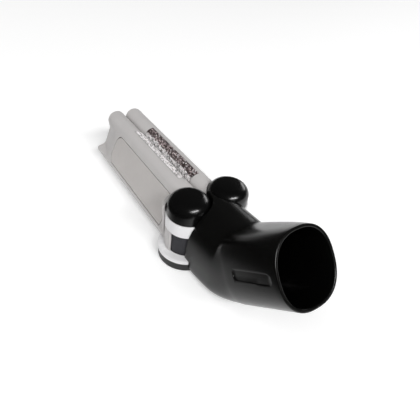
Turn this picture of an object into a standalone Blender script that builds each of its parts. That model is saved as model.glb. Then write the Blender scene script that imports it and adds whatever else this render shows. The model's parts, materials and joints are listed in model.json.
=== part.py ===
"""Folding upholstery and crevice nozzle for a vacuum cleaner.

A black elbow neck takes the oval end of a wand. Its fork holds two upright hinge columns, and a grey
suction arm turns on each. Folded together the arms make a crevice nozzle with its mouth at the tips.
Swung out to the sides they make a wide upholstery head, with a lint strip along each arm.

+Y runs from the hinges to the arm tips, +X to the right, +Z up along the hinge axes. The nozzle stands
on its lower cover at z = 0, and the origin is at the middle of its footprint.
"""

import math

import bmesh
import bpy
from mathutils import Matrix, Vector

MM = 0.001

# Fits
CLEARANCE = 0.3 * MM
RUNNING_GAP = 0.4 * MM
CUT_MARGIN = 1.0 * MM

# Hinge columns, bottom to top
BARREL_RADIUS = 14.4 * MM
COLUMN_GAP = 0.8 * MM
FOOT_STEP = 0.4 * MM
FOOT_HEIGHT = 6.5 * MM
FOOT_EDGE_RADIUS = 1.4 * MM
BASE_FLANGE = 4.2 * MM
BASE_HEIGHT = 2.7 * MM
BASE_CHAMFER = 0.7 * MM
BARREL_HEIGHT = 15.8 * MM
BARREL_WALL = 1.2 * MM
RING_HEIGHT = 9.0 * MM
RING_WALL = 1.3 * MM
CAP_STEP = 0.6 * MM
CAP_SIDE_HEIGHT = 3.6 * MM
CAP_HEIGHT = 13.8 * MM
CAP_TAPER = 2.2 * MM
CAP_EDGE_RADIUS = 1.4 * MM
CAP_CROWN_RISE = 0.4 * MM
CAP_WALL = 2.2 * MM
CAP_BOSS_WALL = 5.7 * MM
CAP_BOSS_FLARE = 1.6 * MM
CAP_BOSS_DROP = 2.4 * MM
CAP_RIM_CHAMFER = 0.3 * MM

# Hinge hardware
PIVOT_SCREW_RADIUS = 2.0 * MM
PIVOT_SCREW_HEAD_RIM = 2.0 * MM
PIVOT_SCREW_HEAD_HEIGHT = 2.4 * MM
PIVOT_SCREW_RECESS = 1.2 * MM
PIVOT_SCREW_GRIP = 8.0 * MM
SCREW_POINT = 1.0 * MM
SCREW_CHAMFER = 0.8 * MM
PILOT_SPARE = 1.5 * MM
BUSH_WALL = 1.7 * MM
WASHER_WIDTH = 4.7 * MM
WASHER_THICKNESS = 0.8 * MM
SLEEVE_WALL = 1.1 * MM
SLEEVE_SEAT_DEPTH = 1.5 * MM
SLEEVE_START = math.radians(186)
SLEEVE_END = math.radians(296)

# Arm section, measured outwards from the middle plane and up from the table
ARM_REACH = 132.3 * MM
ARM_FLOOR_Z = 7.8 * MM
ARM_FACE_GAP = 0.4 * MM
ARM_WALL = 2.2 * MM
LOBE_RADIUS = 7.42 * MM
LOBE_Z = 35.1 * MM
WAIST_X = 14.2 * MM
WAIST_Z = 28.8 * MM
WAIST_RADIUS = 5.0 * MM
FLARE_X = 19.6 * MM
FLARE_Z = 15.0 * MM
FLARE_RADIUS = 3.5 * MM
LIP_X = 26.4 * MM
LIP_TOP_Z = 12.9 * MM
LIP_EDGE_RADIUS = 2.2 * MM
SLOT_TOP_Z = 27.0 * MM
SLOT_BOTTOM_Z = 13.0 * MM
FLOOR_CORNER_RADIUS = 1.5 * MM
DUCT_CORNER_RADIUS = 2.0 * MM

# Arm root. Angles about a hinge axis run from the middle plane (0) past the arm (90) to the outer side (180)
ARM_ROOT_Y = 4.0 * MM
END_BLOCK_LENGTH = 18.0 * MM
COLLAR_WALL = 2.6 * MM
COLLAR_EDGE_STEP = 0.6 * MM
COLLAR_EDGE_WALL = 1.0 * MM
COLLAR_TOP_Z = 39.5 * MM
COLLAR_START = math.radians(60)
COLLAR_END_LOW = math.radians(141.5)
COLLAR_END_HIGH = math.radians(156)
BARREL_START = math.radians(60)
BARREL_END = math.radians(192)
DRUM_WALL = 1.6 * MM
DISC_THICKNESS = 3.3 * MM
LOWER_DISC_THICKNESS = 2.4 * MM
TONGUE_WIDTH = 11.0 * MM
RING_START = math.radians(118)
RING_END = math.radians(372)

# Lint strip and side panel. The panel is measured up the flank from its lower edge
STRIP_START_Y = 25.5 * MM
STRIP_END_Y = 95.0 * MM
STRIP_LOW_ANGLE = math.radians(14)
STRIP_HIGH_ANGLE = math.radians(95)
STRIP_THICKNESS = 1.0 * MM
STRIP_PROUD = 0.1 * MM
PANEL_START_Y = 18.2 * MM
PANEL_END_Y = 107.4 * MM
PANEL_TOP = 24.6 * MM
PANEL_BOTTOM = 1.5 * MM
PANEL_THICKNESS = 1.0 * MM
PANEL_TIP_RADIUS_TOP = 4.0 * MM
PANEL_TIP_RADIUS_BOTTOM = 5.5 * MM
PANEL_ROOT_RADIUS = 1.0 * MM

# The flank is flat along the panel, and hollows towards the tip
FLAT_END_Y = 109.0 * MM
HOLLOW_STEPS = 5

# Neck: level fork, elbow about the crease, then the wand socket
NECK_TOP_Z = 46.0 * MM
NECK_FRONT_Y = 2.0 * MM
NECK_BLEND_Y = -14.0 * MM
CREASE_Y = -34.0 * MM
CREASE_RADIUS = 1.5 * MM
SOCKET_TILT = math.radians(40.5)
SOCKET_LENGTH = 42.8 * MM
SOCKET_HALF_WIDTH = 19.1 * MM
SOCKET_HALF_HEIGHT = 20.5 * MM
SOCKET_SQUARENESS = 2.4
SOCKET_WALL = 1.8 * MM
SOCKET_DEPTH = 30.0 * MM
SOCKET_RIM_RADIUS = 0.6 * MM
ELBOW_HALF_WIDTH = 21.2 * MM
ELBOW_HALF_HEIGHT = 22.5 * MM
ELBOW_TOP_SQUARENESS = 4.0
ELBOW_FOOT_SQUARENESS = 2.2
FORK_HALF_WIDTH = 22.9 * MM
FORK_WIDEST_Z = 10.0 * MM
FORK_TOP_SQUARENESS = 2.7
FORK_FOOT_SQUARENESS = 4.5
NECK_WALL = 2.6 * MM
NECK_FLOOR_Z = 7.2 * MM
PARTING_Z = 4.6 * MM
NECK_BULGE_YS = (-20 * MM, -27 * MM)
BULKHEAD_Y = -21.5 * MM
BORE_LEVEL_Y = -28.0 * MM
PORT_HALF_WIDTH = 11.5 * MM
PORT_BOTTOM_Z = 16.0 * MM
PORT_TOP_Z = 30.0 * MM
FORK_WEB_Y = -5.5 * MM

# Badge recess on the left of the socket, left bare
BADGE_LENGTH = 29.0 * MM
BADGE_HEIGHT = 7.2 * MM
BADGE_DEPTH = 0.45 * MM
BADGE_CORNER = 1.8 * MM
BADGE_FROM_RIM = 20.0 * MM
BADGE_CUT_HEIGHT = 6.0 * MM

# Screws that hold the lower cover
COVER_SCREW_X = 11.0 * MM
COVER_SCREW_Y = -26.5 * MM
COVER_SCREW_RADIUS = 1.4 * MM
COVER_SCREW_HEAD_RADIUS = 2.8 * MM
COVER_SCREW_HEAD_HEIGHT = 1.6 * MM
COVER_SCREW_RECESS = 0.8 * MM
COVER_SCREW_LENGTH = 9.0 * MM
COVER_SCREW_SPARE = 0.5 * MM
COVER_SCREW_CHAMFER = 0.6 * MM
COVER_BOSS_RADIUS = 3.3 * MM
COVER_BOSS_TOP_Z = 13.0 * MM

# Way in which the arm's solids are joined and cut
ARM_SOLVER = "MANIFOLD"

# Facets
ROUND_STEPS = 36
SMALL_ROUND_STEPS = 16
LOFT_STEPS = 44
BORE_STEPS = 36

# Levels and radii that follow from the sizes above
HINGE_X = BARREL_RADIUS + COLUMN_GAP / 2
BASE_RADIUS = BARREL_RADIUS + BASE_FLANGE
FOOT_RADIUS = BASE_RADIUS - FOOT_STEP
COLLAR_RADIUS = BARREL_RADIUS + COLLAR_WALL
CAP_RADIUS = BARREL_RADIUS - CAP_STEP
PILOT_RADIUS = PIVOT_SCREW_RADIUS + CLEARANCE
CAP_BOSS_RADIUS = PILOT_RADIUS + CAP_BOSS_WALL
PIVOT_SCREW_HEAD_RADIUS = PIVOT_SCREW_RADIUS + PIVOT_SCREW_HEAD_RIM
BASE_Z = FOOT_HEIGHT + CLEARANCE
BARREL_Z = BASE_Z + BASE_HEIGHT + CLEARANCE
RING_Z = BARREL_Z + BARREL_HEIGHT + CLEARANCE
CAP_Z = RING_Z + RING_HEIGHT + CLEARANCE
DRUM_TOP_Z = CAP_Z - CLEARANCE
DRUM_RADIUS = BARREL_RADIUS - RING_WALL - CLEARANCE
SLEEVE_RADIUS = BARREL_RADIUS - BARREL_WALL - CLEARANCE
DISC_RADIUS = SLEEVE_RADIUS - SLEEVE_WALL - CLEARANCE
BUSH_RADIUS = PILOT_RADIUS + BUSH_WALL
WASHER_BORE = BUSH_RADIUS + CLEARANCE
WASHER_RADIUS = WASHER_BORE + WASHER_WIDTH
CREASE_Z = NECK_TOP_Z + CREASE_RADIUS
SOCKET_HEIGHT = 2 * SOCKET_HALF_HEIGHT
SOCKET_AXIS = Vector((0, -math.cos(SOCKET_TILT), math.sin(SOCKET_TILT)))
RIM_EDGE = SOCKET_RIM_RADIUS * 0.3
REAR_REACH = (
    -CREASE_Y
    + (CREASE_RADIUS + SOCKET_HEIGHT - RIM_EDGE) * math.sin(SOCKET_TILT)
    + (SOCKET_LENGTH - RIM_EDGE) * math.cos(SOCKET_TILT)
)
HINGE_Y = (REAR_REACH - ARM_REACH) / 2
FAR = ARM_REACH


def clear_scene():
    for old in list(bpy.data.objects):
        bpy.data.objects.remove(old, do_unlink=True)


def new_collection(name):
    group = bpy.data.collections.new(name)
    bpy.context.scene.collection.children.link(group)
    return group


def plastic(name, color, roughness, metallic=0.0):
    finish = bpy.data.materials.new(name)
    finish.use_nodes = True
    shader = finish.node_tree.nodes["Principled BSDF"]
    shader.inputs["Base Color"].default_value = (*color, 1.0)
    shader.inputs["Roughness"].default_value = roughness
    shader.inputs["Metallic"].default_value = metallic
    return finish


def put(obj, group):
    for owner in list(obj.users_collection):
        owner.objects.unlink(obj)
    group.objects.link(obj)
    return obj


def mesh_object(name, mesh, group):
    obj = bpy.data.objects.new(name, mesh)
    group.objects.link(obj)
    return obj


def bake(obj):
    """Replaces an object's data by its evaluated mesh, with coincident points merged."""
    graph = bpy.context.evaluated_depsgraph_get()
    mesh = bpy.data.meshes.new_from_object(obj.evaluated_get(graph))
    obj.modifiers.clear()
    weld(mesh)
    if obj.type == "MESH":
        obj.data = mesh
        return obj
    solid = mesh_object(obj.name + "_solid", mesh, obj.users_collection[0])
    solid.matrix_world = obj.matrix_world
    bpy.data.objects.remove(obj, do_unlink=True)
    return solid


def weld(mesh):
    bm = bmesh.new()
    bm.from_mesh(mesh)
    bmesh.ops.remove_doubles(bm, verts=bm.verts, dist=1e-6)
    bmesh.ops.recalc_face_normals(bm, faces=bm.faces)
    if bm.calc_volume(signed=True) < 0:
        bmesh.ops.reverse_faces(bm, faces=bm.faces)
    bm.to_mesh(mesh)
    bm.free()


def turned(name, profile, steps=ROUND_STEPS):
    """Turns a profile of (radius, z) about the Z axis. It runs down its outer side."""
    mesh = bpy.data.meshes.new(name)
    points = [(r, 0, z) for r, z in profile]
    edges = [(i, i + 1) for i in range(len(points) - 1)]
    if profile[0][0] > 0:
        edges.append((len(points) - 1, 0))
    mesh.from_pydata(points, edges, [])
    obj = mesh_object(name, mesh, CUTTERS)
    screw = obj.modifiers.new("Turn", "SCREW")
    screw.axis = "Z"
    screw.steps = steps
    screw.render_steps = steps
    screw.use_merge_vertices = True
    screw.merge_threshold = 0.00001
    return bake(obj)


def drum(name, radius, low, high, steps=ROUND_STEPS):
    """A plain round cutter or disc between two levels."""
    bpy.ops.mesh.primitive_cylinder_add(
        vertices=steps, radius=radius, depth=high - low, location=(0, 0, (low + high) / 2)
    )
    obj = put(bpy.context.object, CUTTERS)
    obj.name = name
    bpy.ops.object.transform_apply(location=True, rotation=False, scale=False)
    return obj


def block(name, low, high):
    """A box between two corners."""
    bpy.ops.mesh.primitive_cube_add(size=1, location=[(a + b) / 2 for a, b in zip(low, high)])
    obj = put(bpy.context.object, CUTTERS)
    obj.name = name
    obj.scale = [b - a for a, b in zip(low, high)]
    bpy.ops.object.transform_apply(location=True, rotation=False, scale=True)
    return obj


def prism(name, outline, low, high):
    """A flat outline in XY, filled and extruded between two levels along Z."""
    curve = bpy.data.curves.new(name, "CURVE")
    curve.dimensions = "2D"
    curve.fill_mode = "BOTH"
    curve.extrude = (high - low) / 2
    spline = curve.splines.new("POLY")
    spline.points.add(len(outline) - 1)
    for point, (x, y) in zip(spline.points, outline):
        point.co = (x, y, 0, 1)
    spline.use_cyclic_u = True
    obj = mesh_object(name, curve, CUTTERS)
    solid = bake(obj)
    solid.data.transform(Matrix.Translation((0, 0, (low + high) / 2)))
    solid.name = name
    return solid


def loft(name, rings):
    """A closed skin through rings of equally many points, with flat ends."""
    bm = bmesh.new()
    rows = [[bm.verts.new(p) for p in ring] for ring in rings]
    count = len(rings[0])
    for row, after in zip(rows, rows[1:]):
        for i in range(count):
            j = (i + 1) % count
            bm.faces.new((row[i], row[j], after[j], after[i]))
    bm.faces.new(rows[0])
    bm.faces.new(rows[-1])
    bmesh.ops.recalc_face_normals(bm, faces=bm.faces)
    mesh = bpy.data.meshes.new(name)
    bm.to_mesh(mesh)
    bm.free()
    return mesh_object(name, mesh, CUTTERS)


def combine(target, other, operation, solver="EXACT"):
    """One Boolean, applied. The other solid is used up."""
    step = target.modifiers.new(operation.title(), "BOOLEAN")
    step.operation = operation
    step.solver = solver
    step.object = other
    bake(target)
    bpy.data.objects.remove(other, do_unlink=True)
    return target


def cut(target, *cutters, solver="EXACT"):
    for cutter in cutters:
        combine(target, cutter, "DIFFERENCE", solver)
    return target


def join(target, *solids, solver="EXACT"):
    for solid in solids:
        combine(target, solid, "UNION", solver)
    return target


def keep(target, mask):
    return combine(target, mask, "INTERSECT")


def copy_of(obj):
    twin = obj.copy()
    twin.data = obj.data.copy()
    CUTTERS.objects.link(twin)
    return twin


def moved(obj, x=0.0, y=0.0, z=0.0):
    obj.data.transform(Matrix.Translation((x, y, z)))
    return obj


def mirrored(obj):
    """Turns a right-hand solid into its left-hand twin."""
    obj.data.transform(Matrix.Scale(-1, 4, (1, 0, 0)))
    obj.data.flip_normals()
    return obj


def finish(obj, name, material, parent):
    """Names a solid, gives it its finish and hangs it on its empty."""
    put(obj, PARTS)
    obj.name = name
    obj.data.name = name
    obj.data.materials.clear()
    obj.data.materials.append(material)
    obj.data.shade_smooth()
    obj.data.set_sharp_from_angle(angle=math.radians(32))
    obj.parent = parent
    return obj


def both_sides(obj, name, material):
    """Places a piece modelled about the right hinge axis, and its twin on the left."""
    twin = mirrored(copy_of(obj))
    finish(obj, "right_" + name, material, RIGHT_HINGE)
    finish(twin, "left_" + name, material, LEFT_HINGE)


def arc(cx, cz, radius, start, end, steps):
    turn = (end - start) / steps
    return [
        (cx + radius * math.cos(start + turn * i), cz + radius * math.sin(start + turn * i))
        for i in range(steps + 1)
    ]


def sector(inner, outer, start, end, steps=None):
    """Outline of a piece of a ring about the right hinge axis."""
    steps = steps or max(4, round((end - start) / math.radians(10)))
    low = math.pi - end
    high = math.pi - start
    return arc(0, 0, outer, low, high, steps) + arc(0, 0, inner, high, low, steps)


def round_corner(before, corner, after, radius, steps):
    """Points of a fillet of a radius between two straight stretches."""
    a = Vector(before) - Vector(corner)
    b = Vector(after) - Vector(corner)
    a.normalize()
    b.normalize()
    half = a.angle(b) / 2
    reach = radius / math.tan(half)
    centre = Vector(corner) + (a + b).normalized() * radius / math.sin(half)
    first = Vector(corner) + a * reach - centre
    last = Vector(corner) + b * reach - centre
    start = math.atan2(first.y, first.x)
    sweep = math.atan2(last.y, last.x) - start
    sweep = (sweep + math.pi) % (2 * math.pi) - math.pi
    return arc(centre.x, centre.y, radius, start, start + sweep, steps)


def lobe_tangent():
    """Angle on the lobe where the straight stretch down to the waist leaves it."""
    dx = WAIST_X - LOBE_X
    dz = WAIST_Z - LOBE_Z
    reach = math.hypot(dx, dz)
    return math.atan2(dz, dx) + math.acos(LOBE_RADIUS / reach)


LOBE_X = ARM_FACE_GAP + LOBE_RADIUS


def lobe_path():
    """Skin from the inner side over the lobe to the waist."""
    return arc(LOBE_X, LOBE_Z, LOBE_RADIUS, math.pi, lobe_tangent(), 14)


def flank_path():
    """Skin from the waist down the flared side to the edge of the lip."""
    leave = lobe_tangent()
    lobe_end = (LOBE_X + LOBE_RADIUS * math.cos(leave), LOBE_Z + LOBE_RADIUS * math.sin(leave))
    waist = (WAIST_X, WAIST_Z)
    flare = (FLARE_X, FLARE_Z)
    lip = (LIP_X, LIP_TOP_Z)
    lip_foot = (LIP_X, ARM_FLOOR_Z)
    path = round_corner(lobe_end, waist, flare, WAIST_RADIUS, 5)
    path += round_corner(waist, flare, lip, FLARE_RADIUS, 5)
    path += round_corner(flare, lip, lip_foot, LIP_EDGE_RADIUS, 4)
    return path


def floor_path():
    """Skin from the lip along the floor to the inner side."""
    lip = (LIP_X, LIP_TOP_Z)
    lip_foot = (LIP_X, ARM_FLOOR_Z)
    inner_foot = (ARM_FACE_GAP, ARM_FLOOR_Z)
    path = round_corner(lip, lip_foot, inner_foot, LIP_EDGE_RADIUS, 4)
    return path + round_corner(lip_foot, inner_foot, (ARM_FACE_GAP, LOBE_Z), FLOOR_CORNER_RADIUS, 3)


def lip_centre():
    """Middle of the rounding on the lip's upper edge."""
    lip = Vector((LIP_X, LIP_TOP_Z))
    a = (Vector((FLARE_X, FLARE_Z)) - lip).normalized()
    b = Vector((0, -1))
    return lip + (a + b).normalized() * LIP_EDGE_RADIUS / math.sin(a.angle(b) / 2)


def flank_line():
    """Straight line that touches both the lobe and the lip: its outward normal, and its distance."""
    lobe = Vector((LOBE_X, LOBE_Z))
    across = lip_centre() - lobe
    turn = math.acos((LOBE_RADIUS - LIP_EDGE_RADIUS) / across.length)
    angle = math.atan2(across.y, across.x) + turn
    normal = Vector((math.cos(angle), math.sin(angle)))
    return normal, normal.dot(lobe) + LOBE_RADIUS


def filled(path, share, wall=0.0):
    """Brings the hollow of a skin path out towards the flat flank by a share of its depth."""
    normal, distance = flank_line()
    top = LOBE_Z + normal.y * (LOBE_RADIUS - wall)
    foot = lip_centre().y + normal.y * (LIP_EDGE_RADIUS - wall)
    points = []
    for x, z in path:
        flat = (distance - wall - normal.y * z) / normal.x
        hollow = max(0.0, flat - x) if x > LOBE_X and foot < z < top else 0.0
        points.append((x + share * hollow, z))
    return points


def tip_stations(end):
    """Distances along the arm, each with the share by which its flank is filled."""
    stations = [(FLAT_END_Y, 1.0)]
    for i in range(1, HOLLOW_STEPS + 1):
        gone = i / HOLLOW_STEPS
        stations.append((FLAT_END_Y + (ARM_REACH - FLAT_END_Y) * gone, 1 - gone * gone * (3 - 2 * gone)))
    if end > ARM_REACH:
        stations.append((end, 0.0))
    return stations


def tube(name, path, stations, wall=0.0):
    """A closed section about the middle plane, drawn through stations along the arm."""
    rings = []
    for y, share in stations:
        rings.append([(x - HINGE_X, y, z) for x, z in filled(path, share, wall)])
    return loft(name, rings)


def duct_path():
    """Hollow of the arm, one wall inside its skin."""
    leave = lobe_tangent()
    across = Vector((math.cos(leave), math.sin(leave)))
    lobe_end = Vector((LOBE_X, LOBE_Z)) + across * (LOBE_RADIUS - ARM_WALL)
    down = Vector((math.sin(leave), -math.cos(leave)))
    flank = Vector((FLARE_X - WAIST_X, FLARE_Z - WAIST_Z)).normalized()
    mean = (down + flank).normalized()
    inwards = Vector((mean.y, -mean.x)) * ARM_WALL / mean.dot(flank)
    waist = Vector((WAIST_X, WAIST_Z)) + inwards
    floor = ARM_FLOOR_Z + ARM_WALL
    outer_foot = waist + flank * (floor - waist.y) / flank.y
    inner_foot = (ARM_FACE_GAP + ARM_WALL, floor)
    path = arc(LOBE_X, LOBE_Z, LOBE_RADIUS - ARM_WALL, math.pi, leave, 10)
    path += round_corner(lobe_end, waist, outer_foot, WAIST_RADIUS + ARM_WALL, 4)
    path += round_corner(waist, outer_foot, inner_foot, DUCT_CORNER_RADIUS, 3)
    return path + round_corner(outer_foot, inner_foot, (inner_foot[0], LOBE_Z), DUCT_CORNER_RADIUS, 3)


def duct(low, high):
    """Air way of the arm: open to the inner side along the arm, shut and lower in its root."""
    inner = ARM_FACE_GAP + ARM_WALL
    mouth = [(inner, SLOT_BOTTOM_Z), (0, SLOT_BOTTOM_Z), (0, SLOT_TOP_Z), (inner, SLOT_TOP_Z)]
    root_end = ARM_ROOT_Y + END_BLOCK_LENGTH
    stations = [(root_end, 1.0), *tip_stations(ARM_REACH + CUT_MARGIN)]
    hollow = tube("duct", duct_path() + mouth, stations, ARM_WALL)
    stations = [(ARM_ROOT_Y - CUT_MARGIN, 1.0), (root_end + CUT_MARGIN, 1.0)]
    root = tube("duct_root", duct_path(), stations, ARM_WALL)
    return hollow, keep(root, block("root_levels", (-FAR, -FAR, low), (FAR, FAR, high)))


def panel_outline(grow):
    """Side panel seen square to the flank: along the arm, and up the slope."""
    low = PANEL_BOTTOM - grow
    top = PANEL_TOP + grow
    root = PANEL_START_Y - grow
    tip = PANEL_END_Y + grow
    corners = [
        ((root, low), PANEL_ROOT_RADIUS),
        ((tip, low), PANEL_TIP_RADIUS_BOTTOM),
        ((tip, top), PANEL_TIP_RADIUS_TOP),
        ((root, top), PANEL_ROOT_RADIUS),
    ]
    outline = []
    for i, (corner, radius) in enumerate(corners):
        before = corners[i - 1][0]
        after = corners[(i + 1) % 4][0]
        outline += round_corner(before, corner, after, radius, 6)
    return outline


def panel_plate(name, grow, low, high):
    """The panel's outline as a plate on the flat flank, between two depths."""
    plate = prism(name, panel_outline(grow), low, high)
    normal = flank_line()[0]
    up = Vector((-normal.y, 0, normal.x))
    out = Vector((normal.x, 0, normal.y))
    foot = lip_centre() + normal * LIP_EDGE_RADIUS
    frame = Matrix((Vector((0, 1, 0)), up, out)).transposed().to_4x4()
    frame.translation = Vector((foot.x - HINGE_X, 0, foot.y))
    plate.data.transform(frame)
    weld(plate.data)
    return plate


def side_panel():
    both_sides(panel_plate("side_panel", 0.0, -PANEL_THICKNESS, 0.0), "side_panel", ARM_GREY_WARM)


def panel_pocket():
    return panel_plate("panel_pocket", CLEARANCE, -PANEL_THICKNESS - CLEARANCE, CUT_MARGIN)


def lobe_band(name, inner, outer, grow_angle, grow_length):
    """A band around the inner shoulder of the lobe, where the lint strip lies."""
    low = math.pi - STRIP_LOW_ANGLE + grow_angle
    high = math.pi - STRIP_HIGH_ANGLE - grow_angle
    outline = arc(0, 0, outer, low, high, 12) + arc(0, 0, inner, high, low, 12)
    band = prism(name, outline, -STRIP_END_Y - grow_length, -STRIP_START_Y + grow_length)
    band.data.transform(Matrix.Rotation(math.pi / 2, 4, "X"))
    return moved(band, x=LOBE_X - HINGE_X, z=LOBE_Z)


def lint_strip():
    outer = LOBE_RADIUS + STRIP_PROUD
    strip = lobe_band("lint_strip", outer - STRIP_THICKNESS, outer, 0.0, 0.0)
    both_sides(strip, "lint_strip", LINT)


def strip_pocket():
    inner = LOBE_RADIUS + STRIP_PROUD - STRIP_THICKNESS - CLEARANCE
    grow = CLEARANCE / LOBE_RADIUS
    return lobe_band("strip_pocket", inner, LOBE_RADIUS + CUT_MARGIN, grow, CLEARANCE)


def collar_outline(end):
    """Ring sector that thins on both sides towards its free edge."""
    steps = 12
    outline = sector(SLEEVE_RADIUS, COLLAR_RADIUS, COLLAR_START, end, steps)
    edge_inner = COLLAR_RADIUS - COLLAR_EDGE_STEP - COLLAR_EDGE_WALL
    points = []
    for i in range(steps + 1):
        share = max(0.0, 1 - 2 * i / steps)
        share *= share * (3 - 2 * share)
        outer = Vector(outline[i])
        inner = Vector(outline[-1 - i])
        points.insert(i, outer * (1 - COLLAR_EDGE_STEP / COLLAR_RADIUS * share))
        points.insert(i + 1, inner * (1 + (edge_inner / SLEEVE_RADIUS - 1) * share))
    return points


def collar():
    """Upright wall of the arm that wraps the column, with its free edge leaning back."""
    rings = []
    for z, end in ((BARREL_Z - CUT_MARGIN, COLLAR_END_LOW), (COLLAR_TOP_Z, COLLAR_END_HIGH)):
        rings.append([(x, y, z) for x, y in collar_outline(end)])
    return loft("collar", rings)


def arm():
    """One suction arm, modelled on the right hinge axis with the arm along +Y."""
    skin = lobe_path() + flank_path() + floor_path()
    shell = tube("arm", skin, [(ARM_ROOT_Y, 1.0), *tip_stations(ARM_REACH)])
    disc_top = BARREL_Z + LOWER_DISC_THICKNESS
    drum_floor = DRUM_TOP_Z - DISC_THICKNESS
    wall = sector(SLEEVE_RADIUS, BARREL_RADIUS, BARREL_START, BARREL_END)
    barrel = prism("barrel", wall, BARREL_Z - CUT_MARGIN, RING_Z)
    join(shell, collar(), barrel, solver=ARM_SOLVER)
    cut(shell, *duct(disc_top + CLEARANCE, drum_floor + CLEARANCE), solver=ARM_SOLVER)
    foot_room = drum("foot_room", BASE_RADIUS + CLEARANCE, 0, BARREL_Z)
    chamber = drum("chamber", SLEEVE_RADIUS + CLEARANCE, BARREL_Z - CLEARANCE, drum_floor + CLEARANCE / 2)
    cap_room = drum("cap_room", CAP_RADIUS + RUNNING_GAP, DRUM_TOP_Z - CLEARANCE, FAR)
    ring_room = prism(
        "ring_room",
        sector(DRUM_RADIUS - DRUM_WALL / 2, BARREL_RADIUS + CLEARANCE, RING_START, RING_END),
        RING_Z - CLEARANCE,
        CAP_Z,
    )
    cut(shell, foot_room, chamber, cap_room, ring_room, solver=ARM_SOLVER)
    top_drum = turned(
        "top_drum",
        [
            (0, DRUM_TOP_Z),
            (DRUM_RADIUS, DRUM_TOP_Z),
            (DRUM_RADIUS, RING_Z - CLEARANCE),
            (DRUM_RADIUS - DRUM_WALL, RING_Z - CLEARANCE),
            (DRUM_RADIUS - DRUM_WALL, drum_floor),
            (0, drum_floor),
        ],
    )
    lower_disc = drum("lower_disc", DISC_RADIUS, BARREL_Z, disc_top)
    tongue_end = ARM_ROOT_Y + END_BLOCK_LENGTH / 2
    tongue = block(
        "tongue",
        (-TONGUE_WIDTH, BUSH_RADIUS, BARREL_Z + CLEARANCE),
        (0, tongue_end, disc_top - CLEARANCE),
    )
    join(shell, top_drum, lower_disc, tongue, solver=ARM_SOLVER)
    bush_hole = drum("bush_hole", BUSH_RADIUS + CLEARANCE, 0, FAR, SMALL_ROUND_STEPS)
    cut(shell, bush_hole, strip_pocket(), panel_pocket(), solver=ARM_SOLVER)
    both_sides(shell, "arm", ARM_GREY)


def trim_ring():
    """Silver C-shaped band around the top drum, open where the arm joins it."""
    grow = CLEARANCE / BARREL_RADIUS
    outline = sector(DRUM_RADIUS + CLEARANCE, BARREL_RADIUS, RING_START + grow, RING_END - grow)
    both_sides(prism("trim_ring", outline, RING_Z, RING_Z + RING_HEIGHT), "trim_ring", SILVER)


def pivot_cap():
    """Domed cover with a boss that the pivot screw bites into."""
    top = CAP_Z + CAP_HEIGHT
    shoulder = CAP_Z + CAP_SIDE_HEIGHT
    seat = CAP_Z + WASHER_THICKNESS + CLEARANCE
    pilot_end = CAP_Z + PIVOT_SCREW_GRIP + PILOT_SPARE
    crown = top - CAP_CROWN_RISE
    edge = (CAP_RADIUS - CAP_TAPER, crown)
    outer = [(0, top)]
    outer += round_corner((0, crown), edge, (CAP_RADIUS, shoulder), CAP_EDGE_RADIUS, 4)
    outer.append((CAP_RADIUS, shoulder))
    inner_radius = CAP_RADIUS - CAP_WALL
    ceiling = top - CAP_WALL
    inner = [
        (CAP_RADIUS, CAP_Z + CAP_RIM_CHAMFER),
        (CAP_RADIUS - CAP_RIM_CHAMFER, CAP_Z),
        (inner_radius, CAP_Z),
        (inner_radius, shoulder),
        (CAP_BOSS_RADIUS + CAP_BOSS_FLARE, ceiling - CAP_BOSS_DROP),
        (CAP_BOSS_RADIUS, ceiling - CAP_BOSS_DROP),
        (CAP_BOSS_RADIUS, seat),
        (PILOT_RADIUS, seat),
        (PILOT_RADIUS, pilot_end),
        (0, pilot_end),
    ]
    both_sides(turned("pivot_cap", outer + inner), "pivot_cap", CAP_BLACK)


def pivot_hardware():
    """The screw, the bush it clamps and the friction washer under the cap."""
    head_low = PIVOT_SCREW_RECESS
    head_high = head_low + PIVOT_SCREW_HEAD_HEIGHT
    tip = CAP_Z + PIVOT_SCREW_GRIP
    screw = turned(
        "pivot_screw",
        [
            (0, tip),
            (PIVOT_SCREW_RADIUS * 0.6, tip),
            (PIVOT_SCREW_RADIUS, tip - SCREW_POINT),
            (PIVOT_SCREW_RADIUS, head_high),
            (PIVOT_SCREW_HEAD_RADIUS, head_high),
            (PIVOT_SCREW_HEAD_RADIUS, head_low + SCREW_CHAMFER),
            (PIVOT_SCREW_HEAD_RADIUS - SCREW_CHAMFER, head_low),
            (0, head_low),
        ],
        SMALL_ROUND_STEPS,
    )
    both_sides(screw, "pivot_screw", STEEL)
    bush_top = CAP_Z + WASHER_THICKNESS
    bush = turned(
        "pivot_bush",
        [(BUSH_RADIUS, bush_top), (BUSH_RADIUS, BARREL_Z), (PILOT_RADIUS, BARREL_Z), (PILOT_RADIUS, bush_top)],
        SMALL_ROUND_STEPS,
    )
    both_sides(bush, "pivot_bush", STEEL)
    washer = turned(
        "friction_washer",
        [
            (WASHER_RADIUS, CAP_Z + WASHER_THICKNESS),
            (WASHER_RADIUS, CAP_Z),
            (WASHER_BORE, CAP_Z),
            (WASHER_BORE, CAP_Z + WASHER_THICKNESS),
        ],
        SMALL_ROUND_STEPS,
    )
    both_sides(washer, "friction_washer", STEEL)


def port_sleeve():
    """Fixed black shell inside the barrel that shuts the column on its outer side."""
    low = BARREL_Z - SLEEVE_SEAT_DEPTH
    high = BARREL_Z + BARREL_HEIGHT - CLEARANCE
    outline = sector(SLEEVE_RADIUS - SLEEVE_WALL, SLEEVE_RADIUS, SLEEVE_START, SLEEVE_END)
    both_sides(prism("port_sleeve", outline, low, high), "port_sleeve", SLEEVE_BLACK)


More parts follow.
